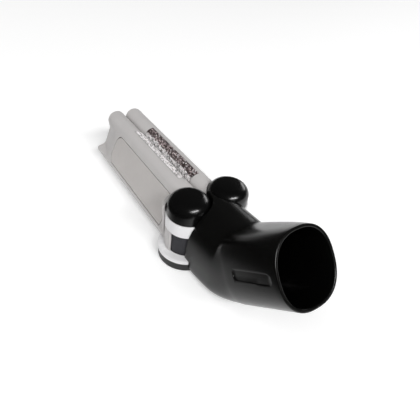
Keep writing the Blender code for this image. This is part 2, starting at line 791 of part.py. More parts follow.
def base_plate():
    """Silver plate with two round lobes, under both columns."""
    low = BASE_Z
    high = BASE_Z + BASE_HEIGHT
    profile = [
        (0, high),
        (BASE_RADIUS - BASE_CHAMFER, high),
        (BASE_RADIUS, high - BASE_CHAMFER),
        (BASE_RADIUS, low),
        (0, low),
    ]
    plate = moved(turned("base_plate", profile), x=HINGE_X)
    join(plate, moved(turned("base_lobe", profile), x=-HINGE_X))
    for side in (1, -1):
        hole = drum("screw_hole", PIVOT_SCREW_RADIUS + CLEARANCE, 0, 2 * high, SMALL_ROUND_STEPS)
        cut(plate, moved(hole, x=side * HINGE_X))
        grow = CLEARANCE / SLEEVE_RADIUS
        seat = sector(
            SLEEVE_RADIUS - SLEEVE_WALL - CLEARANCE,
            SLEEVE_RADIUS + CLEARANCE,
            SLEEVE_START - grow,
            SLEEVE_END + grow,
        )
        groove_cut = prism("sleeve_seat", seat, high - SLEEVE_SEAT_DEPTH, high + CUT_MARGIN)
        if side < 0:
            mirrored(groove_cut)
        cut(plate, moved(groove_cut, x=side * HINGE_X))
    finish(plate, "base_plate", SILVER, NOZZLE)


def section(width, rise, fall, top_power, foot_power, points):
    """Ring of (x, depth below the top) of a two-part superellipse, widest at a depth of rise."""
    ring = []
    for i in range(points):
        turn = 2 * math.pi * (i + 0.5) / points
        c = math.cos(turn)
        s = math.sin(turn)
        power = top_power if s > 0 else foot_power
        x = width * math.copysign(abs(c) ** (2 / power), c)
        bulge = abs(s) ** (2 / power)
        ring.append((x, rise - rise * bulge if s > 0 else rise + fall * bulge))
    return ring


def blend(a, b, share):
    return [p + (q - p) * share for p, q in zip(a, b)]


FORK = (
    FORK_HALF_WIDTH,
    NECK_TOP_Z - FORK_WIDEST_Z,
    FORK_WIDEST_Z,
    FORK_TOP_SQUARENESS,
    FORK_FOOT_SQUARENESS,
)
ELBOW = (
    ELBOW_HALF_WIDTH,
    ELBOW_HALF_HEIGHT,
    ELBOW_HALF_HEIGHT,
    ELBOW_TOP_SQUARENESS,
    ELBOW_FOOT_SQUARENESS,
)
SOCKET = (
    SOCKET_HALF_WIDTH,
    SOCKET_HALF_HEIGHT,
    SOCKET_HALF_HEIGHT,
    SOCKET_SQUARENESS,
    SOCKET_SQUARENESS,
)


def station(ring, along, tilt=0.0, run=0.0, drop=0.0):
    """Places a section ring: level at a Y, or turned about the crease and run up the socket."""
    placed = []
    for x, depth in ring:
        reach = CREASE_RADIUS + depth + drop
        y = along - reach * math.sin(tilt)
        z = CREASE_Z - reach * math.cos(tilt)
        placed.append(Vector((x, y, z)) + SOCKET_AXIS * run)
    return placed


def neck_share(y, tilt):
    """How far the section has changed from the fork's to the elbow's."""
    level = (NECK_BLEND_Y - CREASE_Y) / 2
    total = level + ELBOW_HALF_HEIGHT * SOCKET_TILT
    gone = max(0.0, (NECK_BLEND_Y - y) / 2) + ELBOW_HALF_HEIGHT * tilt
    share = gone / total
    return share * share * (3 - 2 * share)


def neck_skin():
    """Outside of the neck as one closed loft from the fork to the socket's rim."""
    rings = []
    for y in (NECK_FRONT_Y, NECK_BLEND_Y, *NECK_BULGE_YS):
        sizes = blend(FORK, ELBOW, neck_share(y, 0.0))
        rings.append(station(section(*sizes, LOFT_STEPS), y))
    elbow_steps = 8
    for i in range(elbow_steps + 1):
        tilt = SOCKET_TILT * i / elbow_steps
        sizes = blend(FORK, ELBOW, neck_share(CREASE_Y, tilt))
        rings.append(station(section(*sizes, LOFT_STEPS), CREASE_Y, tilt))
    socket_steps = 5
    for i in range(1, socket_steps + 1):
        share = i / socket_steps
        run = (SOCKET_LENGTH - SOCKET_RIM_RADIUS) * share
        sizes = blend(ELBOW, SOCKET, share)
        rings.append(station(section(*sizes, LOFT_STEPS), CREASE_Y, SOCKET_TILT, run))
    edge = RIM_EDGE
    sizes = [SOCKET[0] - edge, SOCKET[1] - edge, SOCKET[2] - edge, *SOCKET[3:]]
    run = SOCKET_LENGTH - edge
    rings.append(station(section(*sizes, LOFT_STEPS), CREASE_Y, SOCKET_TILT, run, edge))
    edge = SOCKET_RIM_RADIUS
    sizes = [SOCKET[0] - edge, SOCKET[1] - edge, SOCKET[2] - edge, *SOCKET[3:]]
    rings.append(station(section(*sizes, LOFT_STEPS), CREASE_Y, SOCKET_TILT, SOCKET_LENGTH, edge))
    return loft("neck_skin", rings)


def inset(sizes, wall, floor):
    return [sizes[0] - wall, sizes[1] - wall, sizes[2] - floor, *sizes[3:]]


def neck_bore():
    """Air way from the bulkhead to the socket, with a stop ledge for the wand."""
    rings = []
    floor = NECK_FLOOR_Z
    for y in (BULKHEAD_Y, BORE_LEVEL_Y):
        sizes = inset(blend(FORK, ELBOW, neck_share(y, 0.0)), NECK_WALL, floor)
        rings.append(station(section(*sizes, BORE_STEPS), y, drop=NECK_WALL))
    elbow_steps = 6
    for i in range(elbow_steps + 1):
        tilt = SOCKET_TILT * i / elbow_steps
        share = i / elbow_steps
        below = floor + (NECK_WALL - floor) * share
        sizes = inset(blend(FORK, ELBOW, neck_share(CREASE_Y, tilt)), NECK_WALL, below)
        rings.append(station(section(*sizes, BORE_STEPS), CREASE_Y, tilt, drop=NECK_WALL))
    ledge = SOCKET_LENGTH - SOCKET_DEPTH
    at_ledge = blend(ELBOW, SOCKET, ledge / SOCKET_LENGTH)
    narrow = inset(at_ledge, NECK_WALL, NECK_WALL)
    rings.append(station(section(*narrow, BORE_STEPS), CREASE_Y, SOCKET_TILT, ledge, NECK_WALL))
    wide = inset(at_ledge, SOCKET_WALL, SOCKET_WALL)
    rings.append(station(section(*wide, BORE_STEPS), CREASE_Y, SOCKET_TILT, ledge, SOCKET_WALL))
    mouth = inset(SOCKET, SOCKET_WALL, SOCKET_WALL)
    for run in (SOCKET_LENGTH, SOCKET_LENGTH + CUT_MARGIN):
        rings.append(station(section(*mouth, BORE_STEPS), CREASE_Y, SOCKET_TILT, run, SOCKET_WALL))
    return loft("neck_bore", rings)


def cradle(side):
    """Stepped round space that one column takes up in the fork."""
    foot = BASE_RADIUS + CLEARANCE
    waist = BARREL_RADIUS + CLEARANCE
    head = CAP_RADIUS + CLEARANCE
    step_low = BARREL_Z
    step_high = CAP_Z + CLEARANCE
    space = turned(
        "cradle",
        [
            (0, 2 * NECK_TOP_Z),
            (head, 2 * NECK_TOP_Z),
            (head, step_high),
            (waist, step_high),
            (waist, step_low),
            (foot, step_low),
            (foot, -CUT_MARGIN),
            (0, -CUT_MARGIN),
        ],
    )
    return moved(space, x=side * HINGE_X)


def badge_cutter():
    """Shallow rounded recess on the left of the socket, in line with it."""
    half_l = BADGE_LENGTH / 2
    half_h = BADGE_HEIGHT / 2
    corners = [(-half_l, -half_h), (half_l, -half_h), (half_l, half_h), (-half_l, half_h)]
    outline = []
    for i, corner in enumerate(corners):
        outline += round_corner(corners[i - 1], corner, corners[(i + 1) % 4], BADGE_CORNER, 4)
    plate = prism("badge", outline, 0, BADGE_CUT_HEIGHT)
    run = SOCKET_LENGTH - BADGE_FROM_RIM
    share = run / SOCKET_LENGTH
    sizes = blend(ELBOW, SOCKET, share)
    depth = CREASE_RADIUS + sizes[1]
    down = Vector((0, -math.sin(SOCKET_TILT), -math.cos(SOCKET_TILT)))
    centre = Vector((0, CREASE_Y, CREASE_Z)) + down * depth + SOCKET_AXIS * run
    centre.x = -(sizes[0] - BADGE_DEPTH)
    taper = math.atan2(ELBOW_HALF_WIDTH - SOCKET_HALF_WIDTH, SOCKET_LENGTH)
    along = SOCKET_AXIS * math.cos(taper) + Vector((math.sin(taper), 0, 0))
    outward = Vector((-math.cos(taper), 0, 0)) + SOCKET_AXIS * math.sin(taper)
    up = outward.cross(along)
    frame = Matrix((along, up, outward)).transposed().to_4x4()
    frame.translation = centre
    plate.data.transform(frame)
    weld(plate.data)
    return plate


def cover_screw_places():
    return [(COVER_SCREW_X, COVER_SCREW_Y), (-COVER_SCREW_X, COVER_SCREW_Y)]


def neck_body():
    neck = neck_skin()
    cut(neck, neck_bore())
    for x, y in cover_screw_places():
        boss = drum("boss", COVER_BOSS_RADIUS, PARTING_Z + CLEARANCE, COVER_BOSS_TOP_Z, SMALL_ROUND_STEPS)
        join(neck, moved(boss, x, y))
    cut(neck, block("parting", (-FAR, -FAR, -FAR), (FAR, FAR, PARTING_Z + CLEARANCE)))
    cut(neck, cradle(1), cradle(-1))
    cut(neck, block("web_trim", (-FAR, FORK_WEB_Y, 0), (FAR, FAR, CAP_Z + CLEARANCE)))
    port_low = (-PORT_HALF_WIDTH, BULKHEAD_Y - CUT_MARGIN, PORT_BOTTOM_Z)
    port_high = (PORT_HALF_WIDTH, 0, PORT_TOP_Z)
    cut(neck, block("port", port_low, port_high), badge_cutter())
    for x, y in cover_screw_places():
        top = COVER_SCREW_RECESS + COVER_SCREW_LENGTH + COVER_SCREW_SPARE
        pilot = drum("pilot", COVER_SCREW_RADIUS + CLEARANCE, 0, top, SMALL_ROUND_STEPS)
        cut(neck, moved(pilot, x, y))
    finish(neck, "neck_body", NECK_BLACK, NOZZLE)


def lower_cover():
    """Black underside: two round feet under the columns and a tongue under the neck."""
    cover = neck_skin()
    keep(cover, block("tongue_mask", (-FAR, -FAR, -FAR), (FAR, FORK_WEB_Y, PARTING_Z)))
    edge = FOOT_EDGE_RADIUS
    profile = [(0, FOOT_HEIGHT), (FOOT_RADIUS, FOOT_HEIGHT)]
    profile += arc(FOOT_RADIUS - edge, edge, edge, 0, -math.pi / 2, 3)
    profile += [(0, 0)]
    for side in (1, -1):
        join(cover, moved(turned("foot", profile), x=side * HINGE_X))
    for side in (1, -1):
        sink = PIVOT_SCREW_RECESS + PIVOT_SCREW_HEAD_HEIGHT + CLEARANCE
        head = drum("head_room", PIVOT_SCREW_HEAD_RADIUS + CLEARANCE, -CUT_MARGIN, sink, SMALL_ROUND_STEPS)
        hole = drum("screw_hole", PIVOT_SCREW_RADIUS + CLEARANCE, 0, 2 * FOOT_HEIGHT, SMALL_ROUND_STEPS)
        cut(cover, moved(head, x=side * HINGE_X), moved(hole, x=side * HINGE_X))
    for x, y in cover_screw_places():
        sink = COVER_SCREW_RECESS + COVER_SCREW_HEAD_HEIGHT + CLEARANCE
        head = drum("head_room", COVER_SCREW_HEAD_RADIUS + CLEARANCE, -CUT_MARGIN, sink, SMALL_ROUND_STEPS)
        hole = drum("screw_hole", COVER_SCREW_RADIUS + CLEARANCE, 0, 2 * FOOT_HEIGHT, SMALL_ROUND_STEPS)
        cut(cover, moved(head, x, y), moved(hole, x, y))
    finish(cover, "lower_cover", COVER_BLACK, NOZZLE)


def cover_screws():
    low = COVER_SCREW_RECESS
    head = low + COVER_SCREW_HEAD_HEIGHT
    tip = low + COVER_SCREW_LENGTH
    profile = [
        (0, tip),
        (COVER_SCREW_RADIUS * 0.6, tip),
        (COVER_SCREW_RADIUS, tip - SCREW_CHAMFER),
        (COVER_SCREW_RADIUS, head),
        (COVER_SCREW_HEAD_RADIUS, head),
        (COVER_SCREW_HEAD_RADIUS, low + COVER_SCREW_CHAMFER),
        (COVER_SCREW_HEAD_RADIUS - COVER_SCREW_CHAMFER, low),
        (0, low),
    ]
    screw = turned("cover_screw", profile, SMALL_ROUND_STEPS)
    both_sides(moved(screw, COVER_SCREW_X - HINGE_X, COVER_SCREW_Y), "cover_screw", STEEL)


def empty(name, x):
    anchor = bpy.data.objects.new(name, None)
    PARTS.objects.link(anchor)
    anchor.location = (x, HINGE_Y, 0)
    return anchor


clear_scene()
PARTS = new_collection("upholstery_nozzle")
CUTTERS = new_collection("cutters")
NOZZLE = empty("nozzle", 0)
LEFT_HINGE = empty("left_hinge", -HINGE_X)
RIGHT_HINGE = empty("right_hinge", HINGE_X)
NECK_BLACK = plastic("neck black", (0.012, 0.012, 0.012), 0.35)
COVER_BLACK = plastic("cover black", (0.02, 0.02, 0.02), 0.5)
CAP_BLACK = plastic("cap black", (0.006, 0.006, 0.006), 0.22)
SLEEVE_BLACK = plastic("sleeve black", (0.03, 0.03, 0.035), 0.5)
ARM_GREY = plastic("arm grey", (0.45, 0.44, 0.43), 0.45)
ARM_GREY_WARM = plastic("arm grey warm", (0.44, 0.42, 0.41), 0.5)
SILVER = plastic("silver", (0.68, 0.68, 0.69), 0.3)
STEEL = plastic("steel", (0.55, 0.55, 0.56), 0.3, 1.0)
LINT = plastic("lint pile", (0.12, 0.07, 0.07), 0.8)

neck_body()
lower_cover()
base_plate()
cover_screws()
arm()
side_panel()
lint_strip()
trim_ring()
pivot_cap()
pivot_hardware()
port_sleeve()
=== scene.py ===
"""Dresses the folding vacuum upholstery nozzle: mouldings, finishes, lint pile, studio and camera.

Lengths are in metres. +Y runs from the wand socket to the arm tips, +X to the right, +Z up. Pieces are
modelled about the point between the hinge axes, and then moved to where the frame has that point.
"""

import json
import math
import random

import bmesh
import bpy
from mathutils import Matrix, Vector


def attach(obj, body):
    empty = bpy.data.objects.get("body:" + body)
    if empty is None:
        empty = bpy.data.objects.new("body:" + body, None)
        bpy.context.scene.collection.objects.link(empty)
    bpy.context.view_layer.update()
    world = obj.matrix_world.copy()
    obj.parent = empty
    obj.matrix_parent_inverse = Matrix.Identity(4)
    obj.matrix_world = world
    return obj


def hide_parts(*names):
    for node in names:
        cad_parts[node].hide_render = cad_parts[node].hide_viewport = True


bl_info = {
    "name": "Upholstery Nozzle Finish",
    "version": (1, 0, 0),
    "blender": (4, 5, 0),
    "location": "View3D > Sidebar > Nozzle",
    "description": "Smooth mouldings, finishes and a studio for a folding vacuum upholstery nozzle",
    "category": "Object",
}

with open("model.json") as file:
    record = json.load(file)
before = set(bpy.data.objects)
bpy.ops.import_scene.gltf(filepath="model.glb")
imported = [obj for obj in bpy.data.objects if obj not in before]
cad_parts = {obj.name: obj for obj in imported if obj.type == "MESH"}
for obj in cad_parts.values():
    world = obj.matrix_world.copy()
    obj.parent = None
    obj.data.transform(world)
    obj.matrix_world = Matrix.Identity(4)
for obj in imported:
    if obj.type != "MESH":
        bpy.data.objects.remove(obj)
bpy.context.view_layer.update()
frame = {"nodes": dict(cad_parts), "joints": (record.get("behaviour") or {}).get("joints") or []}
NODES = frame["nodes"]
HINGES = {joint["child"]: Vector(joint["pos_m"]) for joint in frame["joints"]}
HINGE_X = HINGES["right_arm_body"].x
HINGE_Y = HINGES["right_arm_body"].y
MM = 0.001

# Fits
CLEARANCE = 0.3 * MM
CUT_MARGIN = 1.0 * MM
FAR = 0.14
MERGE = 0.002 * MM
ROUNDING_MERGE = 0.04 * MM

# Columns, bottom to top
FOOT_RADIUS = 18.2 * MM
FOOT_HEIGHT = 6.5 * MM
BASE_RADIUS = 18.6 * MM
BASE_Z = 6.8 * MM
BASE_TOP_Z = 9.5 * MM
BARREL_RADIUS = 14.4 * MM
BARREL_Z = 9.8 * MM
RING_Z = 25.9 * MM
CAP_Z = 35.2 * MM
CAP_TOP_Z = 49.0 * MM
DRUM_TOP_Z = 34.9 * MM
DRUM_RADIUS = 12.8 * MM
DRUM_WALL = 1.6 * MM
DRUM_FLOOR_Z = DRUM_TOP_Z - 3.3 * MM
DISC_TOP_Z = BARREL_Z + 2.4 * MM
RING_HEIGHT = 9.0 * MM
SLEEVE_RADIUS = 12.9 * MM
SLEEVE_WALL = 1.1 * MM
SLEEVE_INNER = SLEEVE_RADIUS - SLEEVE_WALL - CLEARANCE
BUSH_RADIUS = 4.0 * MM
CAP_RADIUS = 13.8 * MM
CAP_ROOM = 0.4 * MM
COLLAR_RADIUS = 17.0 * MM
COLLAR_TOP_Z = 39.5 * MM
PILOT_RADIUS = 2.3 * MM

# Around a column, in degrees from the middle plane
BARREL_START = 60
BARREL_END = 192
RING_START = 118
RING_END = 372
SLEEVE_START = 186
SLEEVE_END = 296
COLLAR_FOOT_END = 137
COLLAR_TOP_END = 151

# Arm section, outwards from the middle plane and up
ARM_ROOT_Y = 4.0 * MM
ARM_REACH = 132.3 * MM
ARM_WALL = 2.2 * MM
FACE_GAP = 0.4 * MM
LOBE = (7.82 * MM, 35.1 * MM)
LOBE_RADIUS = 7.42 * MM
WAIST = (14.2 * MM, 28.8 * MM)
FLARE = (19.6 * MM, 15.0 * MM)
LIP = (26.4 * MM, 12.9 * MM)
LIP_RADIUS = 2.2 * MM
FLAT_END_Y = 109.0 * MM
FLOOR_Z = 7.8 * MM
SLOT_LEVELS = (13 * MM, 27 * MM)
DUCT_START_Y = 22 * MM
TONGUE_Y = 13 * MM
ROUNDED_EDGE = 0.25 * MM

# Side panel, along the arm and up its flank
PANEL_ROOT = 18.2 * MM
PANEL_TIP = 107.4 * MM
PANEL_LOW = 1.5 * MM
PANEL_TOP = 24.6 * MM
PANEL_DEPTH = 1.0 * MM
PANEL_GAP = 0.55 * MM

# Lint strip: angles over the lobe from the middle plane, places along the arm, tufts and fibres
STRIP_START = 14
STRIP_END = 90
STRIP_POCKET_START = STRIP_START - 2.3
STRIP_POCKET_END = STRIP_END + 1.8
STRIP_ROOT_Y = 25.5 * MM
STRIP_TIP_Y = 95.0 * MM
TUFT_ROWS = 9
TUFT_PLACES = 58
TUFT_PITCH = 1.17 * MM
TUFT_LENGTH = 0.9 * MM
FIBRE_WIDTH = 0.2 * MM
FIBRE_DEPTH = 0.1 * MM

# Neck
NECK_TOP_Z = 46.0 * MM
NECK_BLEND_Y = -14.0 * MM
SOCKET_TILT = math.radians(40.5)
CREASE_RADIUS = 0.3 * MM
CREASE_SLIP = (1.5 * MM - CREASE_RADIUS) * math.tan(SOCKET_TILT / 2)
CREASE_Y = -34.0 * MM - CREASE_SLIP
CREASE_BOW = 3.0 * MM
SOCKET_LENGTH = 42.8 * MM + CREASE_SLIP
SOCKET_DEPTH = 30.0 * MM
FORK = (22.9 * MM, 36.0 * MM, 10.0 * MM, 2.7, 4.5)
ELBOW = (21.2 * MM, 22.5 * MM, 22.5 * MM, 4.0, 2.2)
SOCKET = (19.1 * MM, 20.5 * MM, 20.5 * MM, 2.4, 2.4)
SOCKET_AXIS = Vector((0, -math.cos(SOCKET_TILT), math.sin(SOCKET_TILT)))
NECK_WALL = 2.6 * MM
NECK_FLOOR = 7.2 * MM
SOCKET_WALL = 1.8 * MM
RIM_EDGE = 0.6 * MM
BADGE_DEPTH = 0.45 * MM
PARTING_Z = 4.6 * MM
TONGUE_END_Y = -5.5 * MM
COVER_SCREW_X = 11.0 * MM
COVER_SCREW_Y = -26.5 * MM
COVER_HOLE_RADIUS = 1.7 * MM

# Steps of the meshes
SKIN_POINTS = 128
BORE_POINTS = 112
LOBE_STEPS = 40
COLLAR_STEPS = 60
TIP_STEPS = 16
HOLE_STEPS = 48
POST_STEPS = 32

# Share of the paler colour where an edge is worn
WEAR = 0.5


def colour(name, description, value):
    return bpy.props.FloatVectorProperty(
        name=name, description=description, default=value, size=3, min=0.0, max=1.0, subtype="COLOR"
    )


def length(name, description, value, top):
    return bpy.props.FloatProperty(
        name=name, description=description, default=value, min=0.0, max=top, precision=5, unit="LENGTH"
    )


def bearing(name, description, degrees):
    return bpy.props.FloatProperty(
        name=name, description=description, default=math.radians(degrees), subtype="ANGLE"
    )


def amount(name, description, value):
    return bpy.props.FloatProperty(name=name, description=description, default=value, min=0.0)


class NozzleFinishes(bpy.types.PropertyGroup):
    """Colours of the mouldings, metals and pile"""

    neck: colour("Neck", "Glossy black of the elbow neck", (0.0032, 0.0032, 0.003))
    cover: colour("Lower cover", "Satin black of the underside", (0.018, 0.018, 0.019))
    cap: colour("Caps", "Gloss black of the hinge caps", (0.002, 0.002, 0.002))
    sleeve: colour("Sleeves", "Dark grey inside the barrel windows", (0.022, 0.022, 0.027))
    arm: colour("Arms", "Pale grey of the suction arms", (0.565, 0.547, 0.54))
    panel: colour("Side panels", "Warmer grey of the inlaid side panels", (0.545, 0.52, 0.505))
    silver: colour("Silver trim", "Silver paint of the rings and base plate", (0.83, 0.825, 0.835))
    steel: colour("Steel", "Screws, bushes and washers", (0.55, 0.55, 0.56))
    pile_dark: colour("Pile, dark", "Shaded side of the lint pile", (0.028, 0.014, 0.014))
    pile_fleck: colour("Pile, flecks", "Pale flecks in the dark pile", (0.72, 0.6, 0.6))
    # Painted sheen: the silver the pile shows where it faces the light, on the same fabric as the dark
    # side
    pile_sheen: colour("Pile, bright", "Silver side of the lint pile", (0.93, 0.9, 0.9))


class NozzleSizes(bpy.types.PropertyGroup):
    """Edges, grain and pile"""

    edge: length("Ring edge", "Radius on the trim rings' outer edges", 0.35 * MM, 1.0 * MM)
    grain: length("Grain depth", "Depth of the moulded grain on the grey plastic", 0.04 * MM, 0.5 * MM)
    pile: length("Pile length", "Length of a fibre of the lint strips", 0.72 * MM, 3.0 * MM)
    tuft: bpy.props.IntProperty(name="Tuft", description="Fibres in one tuft", default=11, min=4, max=60)
    round_steps: bpy.props.IntProperty(
        name="Round steps", description="Facets around a column", default=120, min=24, max=256
    )


class NozzleStudio(bpy.types.PropertyGroup):
    """Camera, table and lights"""

    azimuth: bearing("Azimuth", "Camera, clockwise from the front", -39.09)
    elevation: bearing("Elevation", "Camera above the floor", 39.86)
    roll: bearing("Roll", "Camera turned about its view", -8.7)
    distance: length("Distance", "Camera to its target", 239.77 * MM, 2.0)
    target: bpy.props.FloatVectorProperty(
        name="Target", description="Point the camera looks at, from between the hinges",
        default=(5.73 * MM, 4.58 * MM, 25.93 * MM), subtype="XYZ", unit="LENGTH", precision=5
    )
    lens: amount("Lens", "Focal length in mm", 353.31 * 36 / 420)
    floor: colour("Floor", "Pale table top", (0.93, 0.93, 0.93))
    backdrop: amount("Backdrop", "What the white table adds where it is seen", 0.25)
    # painted dark reflection: how far to the left of the nozzle the table mirrors black, in mirrored
    # rays only
    cloth: length("Black cloth", "How far to the left of the nozzle it mirrors black", 0.075, 2.0)
    key: amount("Key light", "Level of the large light, left", 0.7)
    rim: amount("Rim light", "Level of the light behind, right", 0.18)
    front: amount("Front light", "Level of the low wide light", 0.74)
    world: amount("Room light", "Level of the room", 0.05)


# Finishes


def material(name, tint, roughness, metallic=0.0):
    """A new material beside the frame's own of that name."""
    finish = bpy.data.materials.new(name + "_finish")
    finish.use_nodes = True
    shader = finish.node_tree.nodes["Principled BSDF"]
    shader.inputs["Base Color"].default_value = (*tint, 1.0)
    shader.inputs["Roughness"].default_value = roughness
    shader.inputs["Metallic"].default_value = metallic
    return finish


def node(finish, kind, **sockets):
    """A new node of a finish, or of the world, with values on its sockets."""
    made = finish.node_tree.nodes.new(kind)
    for socket, value in sockets.items():
        made.inputs[socket].default_value = value
    return made


def link(finish, out, into):
    finish.node_tree.links.new(out, into)


def noise(finish, scale, detail=3.0, roughness=0.55, stretch=None):
    """Noise on Object coordinates, stretched along an axis where asked."""
    coordinates = node(finish, "ShaderNodeTexCoord")
    texture = node(finish, "ShaderNodeTexNoise", Scale=scale, Detail=detail, Roughness=roughness)
    source = coordinates.outputs["Object"]
    if stretch:
        mapping = node(finish, "ShaderNodeMapping", Scale=stretch)
        link(finish, source, mapping.inputs["Vector"])
        source = mapping.outputs["Vector"]
    link(finish, source, texture.inputs["Vector"])
    return texture.outputs["Fac"]


def ramp(finish, factor, stops):
    """Colours between two (position, colour) pairs along a factor."""
    made = node(finish, "ShaderNodeValToRGB")
    for element, (position, tint) in zip(made.color_ramp.elements, stops):
        element.position = position
        element.color = (*tint, 1.0)
    link(finish, factor, made.inputs["Fac"])
    return made.outputs["Color"]


def spread(finish, factor, low, high, start=0.3, end=0.7):
    """A factor between a start and an end carried onto another range."""
    made = node(finish, "ShaderNodeMapRange")
    made.inputs["From Min"].default_value = start
    made.inputs["From Max"].default_value = end
    made.inputs["To Min"].default_value = low
    made.inputs["To Max"].default_value = high
    link(finish, factor, made.inputs["Value"])
    return made.outputs["Result"]


def combined(finish, operation, first, second):
    made = node(finish, "ShaderNodeMath")
    made.operation = operation
    link(finish, first, made.inputs[0])
    link(finish, second, made.inputs[1])
    return made.outputs[0]


def bump(finish, height, strength, distance):
    made = node(finish, "ShaderNodeBump", Strength=strength, Distance=distance)
    link(finish, height, made.inputs["Height"])
    shader = finish.node_tree.nodes["Principled BSDF"]
    link(finish, made.outputs["Normal"], shader.inputs["Normal"])


def worn(finish, surface, tint):
    """A surface colour that is rubbed a little paler, in patches, along the outer edges."""
    form = node(finish, "ShaderNodeNewGeometry")
    edge = spread(finish, form.outputs["Pointiness"], 0.0, 1.0, 0.53, 0.62)
    patches = spread(finish, noise(finish, 210.0, 3.0, 0.6), 0.3 * WEAR, WEAR)
    rubbed = node(finish, "ShaderNodeMix")
    rubbed.data_type = "RGBA"
    link(finish, combined(finish, "MULTIPLY", edge, patches), rubbed.inputs[0])
    link(finish, surface, rubbed.inputs[6])
    rubbed.inputs[7].default_value = (*[min(1.0, c * 1.25 + 0.03) for c in tint], 1.0)
    return rubbed.outputs[2]


def moulded(name, tint, roughness, grain, depth, shift=0.12, specular=0.5):
    """Moulded plastic: slight flow clouding, worn edges, fine spark-eroded grain and uneven gloss."""
    finish = material(name, tint, roughness)
    shader = finish.node_tree.nodes["Principled BSDF"]
    shader.inputs["Specular IOR Level"].default_value = specular
    clouds = noise(finish, 38.0, 4.0, 0.6)
    dark = [c * (1 - shift) for c in tint]
    light = [min(1.0, c * (1 + shift)) for c in tint]
    surface = ramp(finish, clouds, [(0.3, dark), (0.7, light)])
    link(finish, worn(finish, surface, tint), shader.inputs["Base Color"])
    gloss = spread(finish, noise(finish, 95.0, 5.0, 0.7), roughness - 0.03, roughness + 0.03)
    link(finish, gloss, shader.inputs["Roughness"])
    bump(finish, noise(finish, grain, 2.0, 0.5), 0.35, depth)
    return finish


def lint_pile(tint):
    """Pile fibres, each with its own tint."""
    finish = material("lint", tint, 0.55)
    shader = finish.node_tree.nodes["Principled BSDF"]
    strand = node(finish, "ShaderNodeAttribute")
    strand.attribute_name = "strand"
    link(finish, strand.outputs["Color"], shader.inputs["Base Color"])
    shader.inputs["Sheen Weight"].default_value = 0.5
    shader.inputs["Sheen Roughness"].default_value = 0.4
    return finish


def turned_steel(tint):
    """Bright steel with fine marks around it and uneven gloss."""
    finish = material("steel", tint, 0.32, 1.0)
    shader = finish.node_tree.nodes["Principled BSDF"]
    link(finish, spread(finish, noise(finish, 600.0), 0.25, 0.42), shader.inputs["Roughness"])
    bump(finish, noise(finish, 900.0, 2.0, 0.5, (1, 1, 8)), 0.3, 0.02 * MM)
    return finish


def finish_of(name):
    return bpy.data.materials[name + "_finish"]


# Modelling


def deselect():
    if bpy.context.object and bpy.context.object.mode != "OBJECT":
        bpy.ops.object.mode_set(mode="OBJECT")
    bpy.ops.object.select_all(action="DESELECT")


def pick(piece):
    deselect()
    bpy.context.view_layer.objects.active = piece
    piece.select_set(True)


def edit(piece):
    pick(piece)
    bpy.ops.object.mode_set(mode="EDIT")
    bpy.ops.mesh.select_mode(type="FACE")
    bpy.ops.mesh.select_all(action="SELECT")


def leave():
    bpy.ops.object.mode_set(mode="OBJECT")


def tidy(piece):
    """Merges doubles, drops slivers and turns the faces outwards."""
    edit(piece)
    bpy.ops.mesh.remove_doubles(threshold=MERGE)
    bpy.ops.mesh.dissolve_degenerate(threshold=MERGE)
    bpy.ops.mesh.select_all(action="SELECT")
    bpy.ops.mesh.normals_make_consistent(inside=False)
    leave()
    return piece


def outlined(name, points, filled=True):
    """A circle whose points are moved onto an outline in space."""
    deselect()
    fill = "NGON" if filled else "NOTHING"
    bpy.ops.mesh.primitive_circle_add(vertices=len(points), radius=10 * MM, fill_type=fill)
    piece = bpy.context.object
    piece.name = name
    piece.data.name = name
    for vertex, point in zip(piece.data.vertices, points):
        vertex.co = point
    return piece


def spun(name, profile, x, start=0.0, sweep=2 * math.pi):
    """Turns a profile of (radius, height) about an upright axis at x."""
    whole = sweep > 2 * math.pi - 0.001
    across = Vector((math.cos(start), math.sin(start), 0))
    points = [Vector((x, 0, z)) + across * r for r, z in profile]
    piece = outlined(name, points, filled=not whole)
    edit(piece)
    if whole and profile[0][0] == 0 and profile[-1][0] == 0:
        bpy.ops.mesh.select_mode(type="EDGE")
        bpy.ops.mesh.select_all(action="DESELECT")
        mesh = bmesh.from_edit_mesh(piece.data)
        for edge in mesh.edges:
            edge.select_set(all((v.co - Vector((x, 0, v.co.z))).length < 1e-7 for v in edge.verts))
        bmesh.update_edit_mesh(piece.data)
        bpy.ops.mesh.delete(type="EDGE")
        bpy.ops.mesh.select_all(action="SELECT")
    steps = bpy.context.scene.nozzle_sizes.round_steps
    bpy.ops.mesh.spin(steps=steps, angle=sweep, center=(x, 0, 0), axis=(0, 0, 1))
    return tidy(piece)


def drawn(name, points, run):
    """An outline in space, filled and drawn out along a vector."""
    piece = outlined(name, points)
    edit(piece)
    bpy.ops.mesh.extrude_region_move(TRANSFORM_OT_translate={"value": run})
    return tidy(piece)


def upright(name, outline, low, high):
    return drawn(name, [(x, y, low) for x, y in outline], (0, 0, high - low))


def lengthwise(name, section, start, end):
    return drawn(name, [(x, start, z) for x, z in section], (0, end - start, 0))


def lofted(name, rings):
    """A filled circle drawn out from section to section."""
    piece = outlined(name, rings[0])
    edit(piece)
    for before, ring in zip(rings, rings[1:]):
        bpy.ops.mesh.extrude_region_move()
        mesh = bmesh.from_edit_mesh(piece.data)
        face = next(f for f in mesh.faces if f.select)
        count = len(ring)
        first, second = [
            min(range(count), key=lambda i: (vertex.co - Vector(before[i])).length_squared)
            for vertex in face.verts[:2]
        ]
        way = 1 if second == (first + 1) % count else -1
        for i, vertex in enumerate(face.verts):
            vertex.co = ring[(first + way * i) % count]
        bmesh.update_edit_mesh(piece.data)
    return tidy(piece)


def box_tool(name, low, high):
    deselect()
    bpy.ops.mesh.primitive_cube_add(size=1, location=[(a + b) / 2 for a, b in zip(low, high)])
    piece = bpy.context.object
    piece.name = name
    bpy.ops.transform.resize(value=[b - a for a, b in zip(low, high)])
    bpy.ops.object.transform_apply(location=True, rotation=True, scale=True)
    return piece


